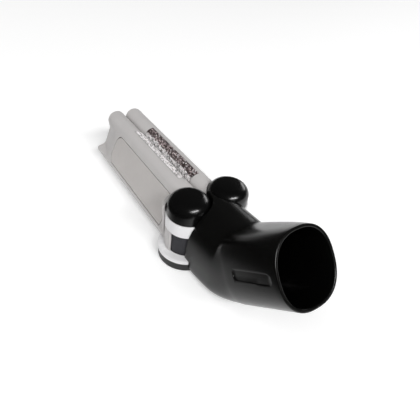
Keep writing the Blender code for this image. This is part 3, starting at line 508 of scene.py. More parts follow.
def drum_tool(name, radius, low, high, x, y=0.0, steps=None):
    deselect()
    bpy.ops.mesh.primitive_cylinder_add(
        vertices=steps or bpy.context.scene.nozzle_sizes.round_steps,
        radius=radius,
        depth=high - low,
        location=(x, y, (low + high) / 2),
    )
    piece = bpy.context.object
    piece.name = name
    bpy.ops.object.transform_apply(location=True, rotation=True, scale=True)
    return piece


def apply(piece, step):
    pick(piece)
    bpy.ops.object.modifier_apply(modifier=step.name)


def carve(piece, operation, *tools):
    """Boolean steps, applied. The tools are used up."""
    for tool in tools:
        step = piece.modifiers.new(operation.title(), "BOOLEAN")
        step.operation = operation
        step.solver = "MANIFOLD"
        step.object = tool
        apply(piece, step)
        bpy.data.objects.remove(tool, do_unlink=True)
        if not piece.data.polygons:
            raise RuntimeError(f"{piece.name} is empty after {operation}")
    return piece


def cut(piece, *tools):
    return carve(piece, "DIFFERENCE", *tools)


def join(piece, *tools):
    return carve(piece, "UNION", *tools)


def rounded(piece, width):
    """Rounds every sharp edge."""
    edit(piece)
    bpy.ops.mesh.remove_doubles(threshold=ROUNDING_MERGE)
    leave()
    step = piece.modifiers.new("Rounding", "BEVEL")
    step.width = width
    step.segments = 2
    step.limit_method = "ANGLE"
    step.angle_limit = math.radians(38)
    step.use_clamp_overlap = False
    step.miter_outer = "MITER_ARC"
    apply(piece, step)
    return piece


def smooth(piece):
    pick(piece)
    bpy.ops.object.shade_smooth_by_angle(angle=math.radians(35))
    return piece


def even(piece):
    """Lets flat faces keep their own normals beside rounded edges."""
    step = piece.modifiers.new("Weights", "WEIGHTED_NORMAL")
    step.keep_sharp = True
    apply(piece, step)


def mirrored(piece, name):
    """A copy on the other side of the middle plane."""
    pick(piece)
    bpy.ops.object.duplicate(linked=False)
    twin = bpy.context.object
    twin.name = name
    twin.data.name = name
    edit(twin)
    bpy.ops.transform.resize(value=(-1, 1, 1), center_override=(0, 0, 0))
    bpy.ops.mesh.flip_normals()
    leave()
    return twin


def seat(piece, slot, body, *nodes):
    """Moves a piece to where its frame is, and says its slot, body and CAD nodes."""
    pick(piece)
    bpy.ops.transform.translate(value=(0, HINGE_Y, 0))
    bpy.ops.object.transform_apply(location=True, rotation=True, scale=True)
    piece.data.materials.clear()
    piece.data.materials.append(finish_of(slot))
    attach(piece, body)
    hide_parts(*nodes)
    return piece


def seat_both(piece, word, slot, on_arms=True):
    """Seats a right-hand piece and its twin for the nodes right_ and left_ of a word."""
    twin = mirrored(piece, f"left_{word}_form")
    piece.name = f"right_{word}_form"
    piece.data.name = piece.name
    for side, item in (("right", piece), ("left", twin)):
        even(item)
        seat(item, slot, f"{side}_arm_body" if on_arms else "neck", f"{side}_{word}")


# Shapes


def arc(cx, cz, radius, start, end, steps):
    turn = (end - start) / steps
    return [
        (cx + radius * math.cos(start + turn * i), cz + radius * math.sin(start + turn * i))
        for i in range(steps + 1)
    ]


def sector(inner, outer, start, end, steps=48):
    """Outline of a piece of a ring about the right hinge axis, in degrees from the middle plane."""
    low = math.radians(180 - end)
    high = math.radians(180 - start)
    return arc(HINGE_X, 0, outer, low, high, steps) + arc(HINGE_X, 0, inner, high, low, steps)


def corner(before, at, after, radius, steps):
    """Points of a fillet of a radius between two straight stretches."""
    a = (Vector(before) - Vector(at)).normalized()
    b = (Vector(after) - Vector(at)).normalized()
    half = a.angle(b) / 2
    centre = Vector(at) + (a + b).normalized() * radius / math.sin(half)
    first = Vector(at) + a * radius / math.tan(half) - centre
    last = Vector(at) + b * radius / math.tan(half) - centre
    start = math.atan2(first.y, first.x)
    sweep = (math.atan2(last.y, last.x) - start + math.pi) % (2 * math.pi) - math.pi
    return arc(centre.x, centre.y, radius, start, start + sweep, steps)


def lobe_tangent():
    """Angle on the lobe where the straight stretch down to the waist leaves it."""
    dx = WAIST[0] - LOBE[0]
    dz = WAIST[1] - LOBE[1]
    return math.atan2(dz, dx) + math.acos(LOBE_RADIUS / math.hypot(dx, dz))


def lobe_path():
    return arc(*LOBE, LOBE_RADIUS, math.pi, lobe_tangent(), LOBE_STEPS)


def flank_path():
    """Skin from the waist down the flared side to the edge of the lip."""
    leave_at = lobe_tangent()
    lobe_end = (LOBE[0] + LOBE_RADIUS * math.cos(leave_at), LOBE[1] + LOBE_RADIUS * math.sin(leave_at))
    path = corner(lobe_end, WAIST, FLARE, 5.0 * MM, 14)
    path += corner(WAIST, FLARE, LIP, 3.5 * MM, 14)
    return path + corner(FLARE, LIP, (LIP[0], FLOOR_Z), LIP_RADIUS, 10)


def floor_path():
    """Skin from the lip along the floor to the inner side."""
    path = corner(LIP, (LIP[0], FLOOR_Z), (FACE_GAP, FLOOR_Z), LIP_RADIUS, 8)
    return path + corner((LIP[0], FLOOR_Z), (FACE_GAP, FLOOR_Z), (FACE_GAP, LOBE[1]), 1.5 * MM, 8)


def band(path, inward, outward):
    """Closed section of a skin that follows an open path."""
    normals = []
    for i in range(len(path)):
        a = Vector(path[max(0, i - 1)])
        b = Vector(path[min(len(path) - 1, i + 1)])
        along = (b - a).normalized()
        normals.append(Vector((-along.y, along.x)))
    outer = [Vector(p) + n * outward for p, n in zip(path, normals)]
    inner = [Vector(p) - n * inward for p, n in zip(path, normals)]
    return [tuple(p) for p in outer + inner[::-1]]


def duct_path():
    """Hollow of the arm, one wall inside its skin."""
    leave_at = lobe_tangent()
    across = Vector((math.cos(leave_at), math.sin(leave_at)))
    lobe_end = Vector(LOBE) + across * (LOBE_RADIUS - ARM_WALL)
    down = Vector((math.sin(leave_at), -math.cos(leave_at)))
    flank = (Vector(FLARE) - Vector(WAIST)).normalized()
    mean = (down + flank).normalized()
    waist = Vector(WAIST) + Vector((mean.y, -mean.x)) * ARM_WALL / mean.dot(flank)
    floor = FLOOR_Z + ARM_WALL
    outer_foot = waist + flank * (floor - waist.y) / flank.y
    inner_foot = (FACE_GAP + ARM_WALL, floor)
    path = arc(*LOBE, LOBE_RADIUS - ARM_WALL, math.pi, leave_at, 30)
    path += corner(lobe_end, waist, outer_foot, 5.0 * MM + ARM_WALL, 10)
    path += corner(waist, outer_foot, inner_foot, 2.0 * MM, 6)
    return path + corner(outer_foot, inner_foot, (inner_foot[0], LOBE[1]), 2.0 * MM, 6)


def panel_outline(grow):
    """Side panel seen square to the flank: along the arm, and up the slope."""
    root = PANEL_ROOT - grow
    tip = PANEL_TIP + grow
    low = PANEL_LOW - grow
    top = PANEL_TOP + grow
    corners = [((root, low), 1.0), ((tip, low), 7.0), ((tip, top), 7.5), ((root, top), 1.0)]
    outline = []
    for i, (at, radius) in enumerate(corners):
        outline += corner(corners[i - 1][0], at, corners[(i + 1) % 4][0], radius * MM, 14)
    return outline


def lip_centre():
    """Middle of the rounding on the lip's upper edge."""
    lip = Vector(LIP)
    a = (Vector(FLARE) - lip).normalized()
    b = Vector((0, -1))
    return lip + (a + b).normalized() * LIP_RADIUS / math.sin(a.angle(b) / 2)


def flank_line():
    """Straight line that touches both the lobe and the lip: its outward normal, and its distance."""
    across = lip_centre() - Vector(LOBE)
    turn = math.acos((LOBE_RADIUS - LIP_RADIUS) / across.length)
    angle = math.atan2(across.y, across.x) + turn
    normal = Vector((math.cos(angle), math.sin(angle)))
    return normal, normal.dot(Vector(LOBE)) + LOBE_RADIUS


def filled(path, share, wall=0.0):
    """Brings the hollow of a skin path out towards the flat flank by a share of its depth."""
    normal, distance = flank_line()
    top = LOBE[1] + normal.y * (LOBE_RADIUS - wall)
    foot = lip_centre().y + normal.y * (LIP_RADIUS - wall)
    points = []
    for x, z in path:
        flat = (distance - wall - normal.y * z) / normal.x
        hollow = max(0.0, flat - x) if x > LOBE[0] and foot < z < top else 0.0
        points.append((x + share * hollow, z))
    return points


def tip_stations(end):
    """Distances along the arm, each with the share by which its flank is filled."""
    stations = [(FLAT_END_Y, 1.0)]
    for i in range(1, TIP_STEPS + 1):
        gone = i / TIP_STEPS
        y = FLAT_END_Y + (ARM_REACH - FLAT_END_Y) * gone
        stations.append((y, 1 - gone * gone * (3 - 2 * gone)))
    if end > ARM_REACH:
        stations.append((end, 0.0))
    return stations


def tube(name, path, stations, wall=0.0):
    """A closed section about the middle plane, drawn through stations along the arm."""
    rings = []
    for y, share in stations:
        rings.append([(x, y, z) for x, z in filled(path, share, wall)])
    return lofted(name, rings)


def panel_plate(name, grow, low, high):
    """The panel's outline as a plate on the flat flank, between two depths."""
    normal = flank_line()[0]
    up = Vector((-normal.y, 0, normal.x))
    out = Vector((normal.x, 0, normal.y))
    foot = lip_centre() + normal * LIP_RADIUS
    origin = Vector((foot.x, 0, foot.y)) + out * low
    points = [origin + Vector((0, u, 0)) + up * v for u, v in panel_outline(grow)]
    return drawn(name, points, out * (high - low))


def section(width, rise, fall, top_power, foot_power, points):
    """Ring of (x, depth below the top) of a two-part superellipse, widest at a depth of rise."""
    ring = []
    for i in range(points):
        turn = 2 * math.pi * (i + 0.5) / points
        c = math.cos(turn)
        s = math.sin(turn)
        power = top_power if s > 0 else foot_power
        bulge = abs(s) ** (2 / power)
        across = width * math.copysign(abs(c) ** (2 / power), c)
        ring.append((across, rise - rise * bulge if s > 0 else rise + fall * bulge))
    return ring


def blend(a, b, share):
    return [p + (q - p) * share for p, q in zip(a, b)]


def crease_bow(along, run):
    """How far the flanks bow back: most at the crease, and nothing at the fork and the rim."""
    if run:
        return max(0.0, CREASE_BOW * (1 - run / SOCKET_LENGTH))
    return max(0.0, CREASE_BOW * (along - NECK_BLEND_Y) / (CREASE_Y - NECK_BLEND_Y))


def station(ring, along, tilt=0.0, run=0.0, drop=0.0):
    """Places a section: level at a Y, or turned about the crease and run up the socket."""
    bow = crease_bow(along, run)
    placed = []
    for x, depth in ring:
        reach = CREASE_RADIUS + depth + drop
        y = along - reach * math.sin(tilt) - bow * (x / ELBOW[0]) ** 2
        z = NECK_TOP_Z + CREASE_RADIUS - reach * math.cos(tilt)
        placed.append(Vector((x, y, z)) + SOCKET_AXIS * run)
    return placed


def neck_share(y, tilt):
    """How far the section has changed from the fork's to the elbow's."""
    total = (NECK_BLEND_Y - CREASE_Y) / 2 + ELBOW[1] * SOCKET_TILT
    share = (max(0.0, (NECK_BLEND_Y - y) / 2) + ELBOW[1] * tilt) / total
    return share * share * (3 - 2 * share)


def inset(sizes, wall, floor):
    return [sizes[0] - wall, sizes[1] - wall, sizes[2] - floor, *sizes[3:]]


def socket_sizes(share):
    """Section between elbow and rim. The flat top gives way late."""
    sizes = blend(ELBOW, SOCKET, share)
    sizes[3] = ELBOW[3] + (SOCKET[3] - ELBOW[3]) * share * share
    return sizes


def neck_skin(inward=0.0):
    """Outside of the neck from the fork to the rim, or a skin a little inside it."""
    rings = []

    def add(sizes, *place, edge=0.0):
        ring = section(*inset(sizes, inward + edge, inward + edge), SKIN_POINTS)
        rings.append(station(ring, *place, drop=inward + edge))

    for y in (2, -6, -14, -16, -18, -20, -22, -24, -26, -28, -30, -32):
        add(blend(FORK, ELBOW, neck_share(y * MM, 0.0)), y * MM)
    for i in range(25):
        tilt = SOCKET_TILT * i / 24
        add(blend(FORK, ELBOW, neck_share(CREASE_Y, tilt)), CREASE_Y, tilt)
    for i in range(1, 13):
        add(socket_sizes(i / 12), CREASE_Y, SOCKET_TILT, (SOCKET_LENGTH - RIM_EDGE) * i / 12)
    for i in range(1, 5):
        turn = math.pi / 2 * i / 4
        run = SOCKET_LENGTH - RIM_EDGE * (1 - math.sin(turn))
        add(SOCKET, CREASE_Y, SOCKET_TILT, run, edge=RIM_EDGE * (1 - math.cos(turn)))
    return lofted("neck_skin", rings)


def neck_bore():
    """Air way from the fork to the socket, with a tapered stop for the wand."""
    rings = []

    def add(sizes, wall, floor, along, tilt=0.0, run=0.0):
        ring = section(*inset(sizes, wall, floor), BORE_POINTS)
        rings.append(station(ring, along, tilt, run, wall))

    for y in (-21.5, -24, -26, -28, -31):
        add(blend(FORK, ELBOW, neck_share(y * MM, 0.0)), NECK_WALL, NECK_FLOOR, y * MM)
    for i in range(19):
        share = i / 18
        tilt = SOCKET_TILT * share
        floor = NECK_FLOOR + (NECK_WALL - NECK_FLOOR) * share
        add(blend(FORK, ELBOW, neck_share(CREASE_Y, tilt)), NECK_WALL, floor, CREASE_Y, tilt)
    ledge = SOCKET_LENGTH - SOCKET_DEPTH
    at_ledge = blend(ELBOW, SOCKET, ledge / SOCKET_LENGTH)
    add(at_ledge, NECK_WALL, NECK_WALL, CREASE_Y, SOCKET_TILT, ledge - 2 * MM)
    for i in range(1, 7):
        share = i / 6
        run = ledge + (SOCKET_LENGTH - RIM_EDGE - ledge) * share
        add(blend(at_ledge, SOCKET, share), SOCKET_WALL, SOCKET_WALL, CREASE_Y, SOCKET_TILT, run)
    for i in range(1, 4):
        turn = math.pi / 2 * i / 3
        wall = SOCKET_WALL - RIM_EDGE * (1 - math.cos(turn))
        run = SOCKET_LENGTH - RIM_EDGE + RIM_EDGE * math.sin(turn)
        add(SOCKET, wall, wall, CREASE_Y, SOCKET_TILT, run)
    wall = SOCKET_WALL - RIM_EDGE
    add(SOCKET, wall, wall, CREASE_Y, SOCKET_TILT, SOCKET_LENGTH + CUT_MARGIN)
    return lofted("neck_bore", rings)


def cradle(side):
    """Stepped round space that one column takes up in the fork."""
    foot = BASE_RADIUS + CLEARANCE
    waist = BARREL_RADIUS + CLEARANCE
    head = CAP_RADIUS + CLEARANCE
    profile = [(0, 2 * NECK_TOP_Z), (head, 2 * NECK_TOP_Z)]
    profile += [(head, CAP_Z + CLEARANCE), (waist, CAP_Z + CLEARANCE)]
    profile += [(waist, BARREL_Z), (foot, BARREL_Z), (foot, -CUT_MARGIN), (0, -CUT_MARGIN)]
    return spun("cradle", profile, side * HINGE_X)


def badge_cutter():
    """Shallow rounded recess on the left of the socket, in line with it."""
    half_length = 14.5 * MM
    half_height = 2.95 * MM
    corners = [
        (-half_length, -half_height), (half_length, -half_height),
        (half_length, half_height), (-half_length, half_height),
    ]
    outline = []
    for i, at in enumerate(corners):
        outline += corner(corners[i - 1], at, corners[(i + 1) % 4], 2.8 * MM, 10)
    run = SOCKET_LENGTH - 20.0 * MM
    sizes = blend(ELBOW, SOCKET, run / SOCKET_LENGTH)
    down = Vector((0, -math.sin(SOCKET_TILT), -math.cos(SOCKET_TILT)))
    centre = Vector((0, CREASE_Y, NECK_TOP_Z + CREASE_RADIUS)) + down * (CREASE_RADIUS + sizes[1])
    centre += SOCKET_AXIS * run
    centre.x = BADGE_DEPTH - sizes[0]
    taper = math.atan2(ELBOW[0] - SOCKET[0], SOCKET_LENGTH)
    along = SOCKET_AXIS * math.cos(taper) + Vector((math.sin(taper), 0, 0))
    outward = Vector((-math.cos(taper), 0, 0)) + SOCKET_AXIS * math.sin(taper)
    up = outward.cross(along)
    centre += up * 1.5 * MM + along * 0.8 * MM - outward * 3 * MM
    plate = drawn("badge", [centre + along * u + up * v for u, v in outline], outward * 9 * MM)
    return cut(plate, neck_skin(inward=BADGE_DEPTH))


# Pieces


def neck_form():
    neck = cut(neck_skin(), neck_bore())
    boss_top = 13.0 * MM
    pilot_top = 10.3 * MM
    for x in (COVER_SCREW_X, -COVER_SCREW_X):
        foot = PARTING_Z + CLEARANCE
        join(neck, drum_tool("boss", 3.3 * MM, foot, boss_top, x, COVER_SCREW_Y, POST_STEPS))
    cut(neck, box_tool("parting", (-FAR, -FAR, -FAR), (FAR, FAR, PARTING_Z + CLEARANCE)))
    cut(neck, cradle(1), cradle(-1))
    cut(neck, box_tool("web_trim", (-FAR, TONGUE_END_Y, 0), (FAR, FAR, CAP_Z + CLEARANCE)))
    cut(neck, box_tool("port", (-11.5 * MM, -22.5 * MM, 16 * MM), (11.5 * MM, 0, 30 * MM)))
    cut(neck, badge_cutter())
    for x in (COVER_SCREW_X, -COVER_SCREW_X):
        cut(neck, drum_tool("pilot", COVER_HOLE_RADIUS, 0, pilot_top, x, COVER_SCREW_Y, POST_STEPS))
    neck.name = "neck_form"
    neck.data.name = "neck_form"
    rounded(neck, 0.2 * MM)
    smooth(neck)
    seat(neck, "neck_black", "neck", "neck_body")


def cap_form():
    """Domed cover, flattened on top, with a hollow and a boss that the pivot screw bites into."""
    round_over = 7.6 * MM
    flat = CAP_RADIUS - 0.1 * MM - round_over
    wall_inside = 11.6 * MM
    shoulder = 9.6 * MM
    boss = 8.0 * MM
    roof = 44.4 * MM
    boss_foot = CAP_Z + 1.1 * MM
    pilot_end = CAP_Z + 9.5 * MM
    profile = [(0, CAP_TOP_Z - 0.3 * MM), (2.4 * MM, CAP_TOP_Z - 0.34 * MM)]
    profile += [(4.2 * MM, CAP_TOP_Z - 0.42 * MM)]
    profile += arc(flat, CAP_TOP_Z - 0.6 * MM - round_over, round_over, math.pi / 2, 0, 24)
    profile += [(CAP_RADIUS, CAP_Z + 0.3 * MM), (CAP_RADIUS - 0.09 * MM, CAP_Z + 0.09 * MM)]
    profile += [(CAP_RADIUS - 0.3 * MM, CAP_Z), (wall_inside, CAP_Z), (wall_inside, CAP_Z + 3.6 * MM)]
    profile += [(shoulder, roof), (boss, roof), (boss, boss_foot)]
    profile += [(PILOT_RADIUS, boss_foot), (PILOT_RADIUS, pilot_end), (0, pilot_end)]
    cap = smooth(spun("right_pivot_cap_form", profile, HINGE_X))
    seat_both(cap, "pivot_cap", "cap_black", on_arms=False)


def ring_form():
    """Silver C-shaped band around the top drum, open where the arm joins it."""
    inner = DRUM_RADIUS + CLEARANCE
    low = RING_Z
    high = RING_Z + RING_HEIGHT
    edge = bpy.context.scene.nozzle_sizes.edge
    profile = arc(BARREL_RADIUS - edge, low + edge, edge, -math.pi / 2, 0, 4)
    profile += arc(BARREL_RADIUS - edge, high - edge, edge, 0, math.pi / 2, 4)
    profile += [(inner, high), (inner, low)]
    grow = math.degrees(CLEARANCE / BARREL_RADIUS)
    start = math.radians(180 - RING_END + grow)
    sweep = math.radians(RING_END - RING_START - 2 * grow)
    ring = smooth(spun("right_trim_ring_form", profile, HINGE_X, start, sweep))
    seat_both(ring, "trim_ring", "silver")


def base_form():
    """Silver plate with two round lobes, under both columns."""
    edge = 0.7 * MM
    profile = [(0, BASE_TOP_Z)]
    profile += arc(BASE_RADIUS - edge, BASE_TOP_Z - edge, edge, math.pi / 2, 0, 6)
    profile += [(BASE_RADIUS, BASE_Z + 0.2 * MM), (BASE_RADIUS - 0.2 * MM, BASE_Z), (0, BASE_Z)]
    plate = spun("base_plate_form", profile, HINGE_X)
    join(plate, spun("base_lobe", profile, -HINGE_X))
    grow = math.degrees(CLEARANCE / SLEEVE_RADIUS)
    groove = sector(SLEEVE_INNER, SLEEVE_RADIUS + CLEARANCE, SLEEVE_START - grow, SLEEVE_END + grow)
    for side in (1, -1):
        x = side * HINGE_X
        cut(plate, drum_tool("screw_hole", PILOT_RADIUS, 0, 2 * BASE_TOP_Z, x, steps=HOLE_STEPS))
        outline = [(side * x, y) for x, y in groove]
        cut(plate, upright("sleeve_seat", outline, BASE_TOP_Z - 1.5 * MM, 20 * MM))
    smooth(plate)
    seat(plate, "silver", "neck", "base_plate")


def cover_form():
    """Black underside: two round feet under the columns and a tongue under the neck."""
    cover = neck_skin()
    mask = box_tool("tongue_mask", (-FAR, -FAR, -FAR), (FAR, TONGUE_END_Y, PARTING_Z))
    carve(cover, "INTERSECT", mask)
    edge = 1.4 * MM
    bevel = 0.2 * MM
    profile = [(0, FOOT_HEIGHT), (FOOT_RADIUS - bevel, FOOT_HEIGHT), (FOOT_RADIUS, FOOT_HEIGHT - bevel)]
    profile += arc(FOOT_RADIUS - edge, edge, edge, 0, -math.pi / 2, 10)
    profile += [(0, 0)]
    for side in (1, -1):
        join(cover, spun("foot", profile, side * HINGE_X))
    for side in (1, -1):
        x = side * HINGE_X
        cut(cover, drum_tool("head_room", 4.3 * MM, -CUT_MARGIN, 3.9 * MM, x, steps=HOLE_STEPS))
        cut(cover, drum_tool("screw_hole", PILOT_RADIUS, 0, 20 * MM, x, steps=HOLE_STEPS))
    for x in (COVER_SCREW_X, -COVER_SCREW_X):
        for radius, low, high in ((3.1 * MM, -CUT_MARGIN, 2.7 * MM), (COVER_HOLE_RADIUS, 0, 13.0 * MM)):
            cut(cover, drum_tool("cover_hole", radius, low, high, x, COVER_SCREW_Y, HOLE_STEPS))
    cover.name = "lower_cover_form"
    cover.data.name = "lower_cover_form"
    smooth(cover)
    seat(cover, "cover_black", "neck", "lower_cover")


def collar_outline(end):
    """Ring sector that thins on both sides towards its free edge."""
    outline = sector(SLEEVE_RADIUS, COLLAR_RADIUS, BARREL_START, end, COLLAR_STEPS)
    edge_step = 0.6 * MM
    edge_inner = COLLAR_RADIUS - 2.1 * MM
    middle = Vector((HINGE_X, 0))
    outer = []
    inner = []
    for i in range(COLLAR_STEPS + 1):
        share = max(0.0, 1 - 2 * i / COLLAR_STEPS)
        share *= share * (3 - 2 * share)
        reach = 1 - edge_step / COLLAR_RADIUS * share
        outer.append(middle + (Vector(outline[i]) - middle) * reach)
        reach = 1 + (edge_inner / SLEEVE_RADIUS - 1) * share
        inner.append(middle + (Vector(outline[-1 - i]) - middle) * reach)
    return outer + inner[::-1]


def collar_form():
    """Upright wall that wraps the column, with its free edge leaning back."""
    rings = []
    for z, end in ((BARREL_Z - CUT_MARGIN, COLLAR_FOOT_END), (COLLAR_TOP_Z, COLLAR_TOP_END)):
        rings.append([(x, y, z) for x, y in collar_outline(end)])
    return lofted("collar", rings)


def arm_duct():
    """Air way of the arm: open to the inner side along the arm, shut and lower in its root."""
    inner = FACE_GAP + ARM_WALL
    foot, top = SLOT_LEVELS
    mouth = [(inner, foot), (0, foot), (0, top), (inner, top)]
    stations = [(DUCT_START_Y, 1.0), *tip_stations(ARM_REACH + CUT_MARGIN)]
    hollow = tube("duct", duct_path() + mouth, stations, ARM_WALL)
    stations = [(ARM_ROOT_Y - CUT_MARGIN, 1.0), (DUCT_START_Y + CUT_MARGIN, 1.0)]
    root = tube("duct_root", duct_path(), stations, ARM_WALL)
    low = (-FAR, -FAR, DISC_TOP_Z + CLEARANCE)
    high = (FAR, FAR, DRUM_FLOOR_Z + CLEARANCE)
    return hollow, carve(root, "INTERSECT", box_tool("levels", low, high))


def column_rooms():
    """What the column's fixed pieces and the trim ring take out of the arm."""
    window = sector(DRUM_RADIUS - 0.8 * MM, BARREL_RADIUS + CLEARANCE, RING_START, RING_END, 96)
    ceiling = DRUM_FLOOR_Z + CLEARANCE / 2
    return (
        drum_tool("foot_room", BASE_RADIUS + CLEARANCE, 0, BARREL_Z, HINGE_X),
        drum_tool("chamber", SLEEVE_RADIUS + CLEARANCE, BARREL_Z - CLEARANCE, ceiling, HINGE_X),
        drum_tool("cap_room", CAP_RADIUS + CAP_ROOM, DRUM_TOP_Z - CLEARANCE, FAR, HINGE_X),
        upright("ring_room", window, RING_Z - CLEARANCE, CAP_Z),
    )


def knuckle():
    """Top drum and lower disc that turn on the bush, with the tongue that ties the disc to the arm."""
    inside = DRUM_RADIUS - DRUM_WALL
    step = RING_Z - CLEARANCE
    profile = [(0, DRUM_TOP_Z), (DRUM_RADIUS, DRUM_TOP_Z), (DRUM_RADIUS, step)]
    profile += [(inside, step), (inside, DRUM_FLOOR_Z), (0, DRUM_FLOOR_Z)]
    disc = drum_tool("lower_disc", SLEEVE_INNER, BARREL_Z, DISC_TOP_Z, HINGE_X)
    low = (HINGE_X - 11 * MM, BUSH_RADIUS, BARREL_Z + CLEARANCE)
    tongue = box_tool("tongue", low, (HINGE_X, TONGUE_Y, DISC_TOP_Z - CLEARANCE))
    return spun("top_drum", profile, HINGE_X), disc, tongue


def arm_form():
    """One suction arm with its knuckle, its lint pocket and its panel pocket."""
    skin = lobe_path() + flank_path() + floor_path()
    shell = tube("arm", skin, [(ARM_ROOT_Y, 1.0), *tip_stations(ARM_REACH)])
    wall = sector(SLEEVE_RADIUS, BARREL_RADIUS, BARREL_START, BARREL_END)
    join(shell, collar_form(), upright("barrel", wall, BARREL_Z - CUT_MARGIN, RING_Z))
    cut(shell, *arm_duct())
    cut(shell, *column_rooms())
    join(shell, *knuckle())
    cut(shell, drum_tool("bush_hole", BUSH_RADIUS + CLEARANCE, 0, FAR, HINGE_X, steps=HOLE_STEPS))
    inner = LOBE_RADIUS - 1.2 * MM
    outer = LOBE_RADIUS + CUT_MARGIN
    cut(shell, lobe_band(inner, outer, STRIP_POCKET_START, STRIP_POCKET_END, CLEARANCE))
    rounded(shell, ROUNDED_EDGE)
    cut(shell, panel_plate("panel_pocket", PANEL_GAP, -PANEL_DEPTH - CLEARANCE, CUT_MARGIN))
    smooth(shell)
    seat_both(shell, "arm", "arm_grey")


def lobe_band(inner, outer, low, high, grow):
    """A band around the inner shoulder of the lobe, in degrees from the middle plane."""
    first = math.radians(180 - low)
    last = math.radians(180 - high)
    outline = arc(*LOBE, outer, first, last, 32) + arc(*LOBE, inner, last, first, 32)
    return lengthwise("lobe_band", outline, STRIP_ROOT_Y - grow, STRIP_TIP_Y + grow)


def panel_form():
    """Thin inlaid plate on the flared side."""
    panel = panel_plate("side_panel", 0.0, -PANEL_DEPTH, 0.0)
    rounded(panel, ROUNDED_EDGE)
    smooth(panel)
    seat_both(panel, "side_panel", "panel_grey")


def strip_point(turn, y, radius):
    """A place on the right strip: its angle over the lobe in degrees, its distance along the arm."""
    angle = math.radians(180 - turn)
    return Vector((LOBE[0] + radius * math.cos(angle), y, LOBE[1] + radius * math.sin(angle)))


def tuft_tints(turn, edge, tints, chance):
    """Painted sheen and shade of one and the same pile: silver sheen in the valley, and past an edge in
    degrees maroon with pink flecks.
    """
    # share of tufts painted with the silver sheen, falling off past the edge
    share = min(0.96, max(0.06, 0.5 - (turn - edge) / 16))
    if chance.random() < share:
        return Vector(tints.pile_sheen) * chance.choice((0.3, 0.7, 1.0, 1.05, 1.05))
    fleck = chance.choice((0.0, 0.0, 0.1, 0.35, 0.8))
    return Vector(tints.pile_dark) * (1 - fleck) + Vector(tints.pile_fleck) * fleck


def lint_fibres(edge, seed):
    """Leaning fibres in diagonal tufts: the corners, faces and tints of one mesh of thin spikes."""
    sizes = bpy.context.scene.nozzle_sizes
    tints = bpy.context.scene.nozzle_finishes
    chance = random.Random(seed)
    corners, faces, shades = [], [], []
    root = LOBE_RADIUS - 0.25 * MM
    for row in range(TUFT_ROWS):
        for place in range(TUFT_PLACES):
            y = 26.0 * MM + (place + 0.5 * (row % 2)) * TUFT_PITCH
            turn = 15 + (row + 0.5) * 74 / TUFT_ROWS
            tint = tuft_tints(turn, edge, tints, chance)
            swing = chance.uniform(-0.25, 0.25)
            for _ in range(sizes.tuft):
                along = (chance.random() - 0.5) * TUFT_LENGTH
                across = chance.gauss(0, 0.11) * MM
                at = min(89.6, max(15.0, turn + math.degrees((0.62 * along + across) / root)))
                low = min(94.2 * MM, max(25.8 * MM, y + 0.78 * along - across))
                foot = strip_point(at, low, root)
                normal = strip_point(at, 0, 1) - strip_point(at, 0, 0)
                side = Vector((normal.z, 0, -normal.x))
                forward = Vector((0, 0.7 + chance.gauss(0, 0.2), 0))
                lean = forward + side * (swing + chance.gauss(0, 0.15))
                tip = foot + (normal + lean).normalized() * sizes.pile * chance.uniform(0.75, 1.1)
                tip.x = max(tip.x, 0.12 * MM)
                beside = (tip - foot).cross(normal).normalized() * FIBRE_WIDTH
                behind = (tip - foot).cross(beside).normalized() * FIBRE_DEPTH
                first = len(corners)
                corners += [foot + beside, foot - beside, foot + behind, tip]
                faces += [
                    (first, first + 2, first + 1), (first, first + 1, first + 3),
                    (first + 1, first + 2, first + 3), (first + 2, first, first + 3),
                ]
                # painted shade at each fibre's foot and a painted lighter tip, standing in for the
                # pile's self-shadow
                shades += [tint * 0.9] * 3 + [tint * chance.uniform(1.0, 1.2)]
    return corners, faces, shades


def pile_object(corners, faces, shades):
    """Thousands of fibres go into one mesh at once, each a closed spike with its tint."""
    pile = bpy.data.meshes.new("pile")
    pile.from_pydata(corners, [], faces)
    tint = pile.color_attributes.new("strand", "FLOAT_COLOR", "POINT")
    tint.data.foreach_set("color", [c for shade in shades for c in (*shade, 1.0)])
    fibres = bpy.data.objects.new("pile", pile)
    bpy.context.collection.objects.link(fibres)
    return fibres


def lint_form(side, edge, seed):
    """Backing strip with its pile, painted with a silver sheen up to an edge in degrees and with dark
    shade past it.
    """
    tints = bpy.context.scene.nozzle_finishes
    strip = lobe_band(LOBE_RADIUS - 0.9 * MM, LOBE_RADIUS - 0.2 * MM, STRIP_START, STRIP_END, 0.0)
    fibres = pile_object(*lint_fibres(edge, seed))
    # painted sheen on the backing up to the edge, painted shade past it
    silver = Vector(tints.pile_sheen) * 0.45
    shade = strip.data.color_attributes.new("strand", "FLOAT_COLOR", "POINT")
    for vertex, point in zip(strip.data.vertices, shade.data):
        turn = 180 - math.degrees(math.atan2(vertex.co.z - LOBE[1], vertex.co.x - LOBE[0]))
        point.color = (*(silver if turn < edge else tints.pile_dark), 1.0)
    pick(strip)
    fibres.select_set(True)
    bpy.ops.object.join()
    edit(strip)
    if side == "left":
        bpy.ops.transform.resize(value=(-1, 1, 1), center_override=(0, 0, 0))
    bpy.ops.mesh.normals_make_consistent(inside=False)
    leave()
    strip.name = f"{side}_lint_strip_form"
    strip.data.name = strip.name
    seat(strip, "lint", f"{side}_arm_body", f"{side}_lint_strip")


# Studio


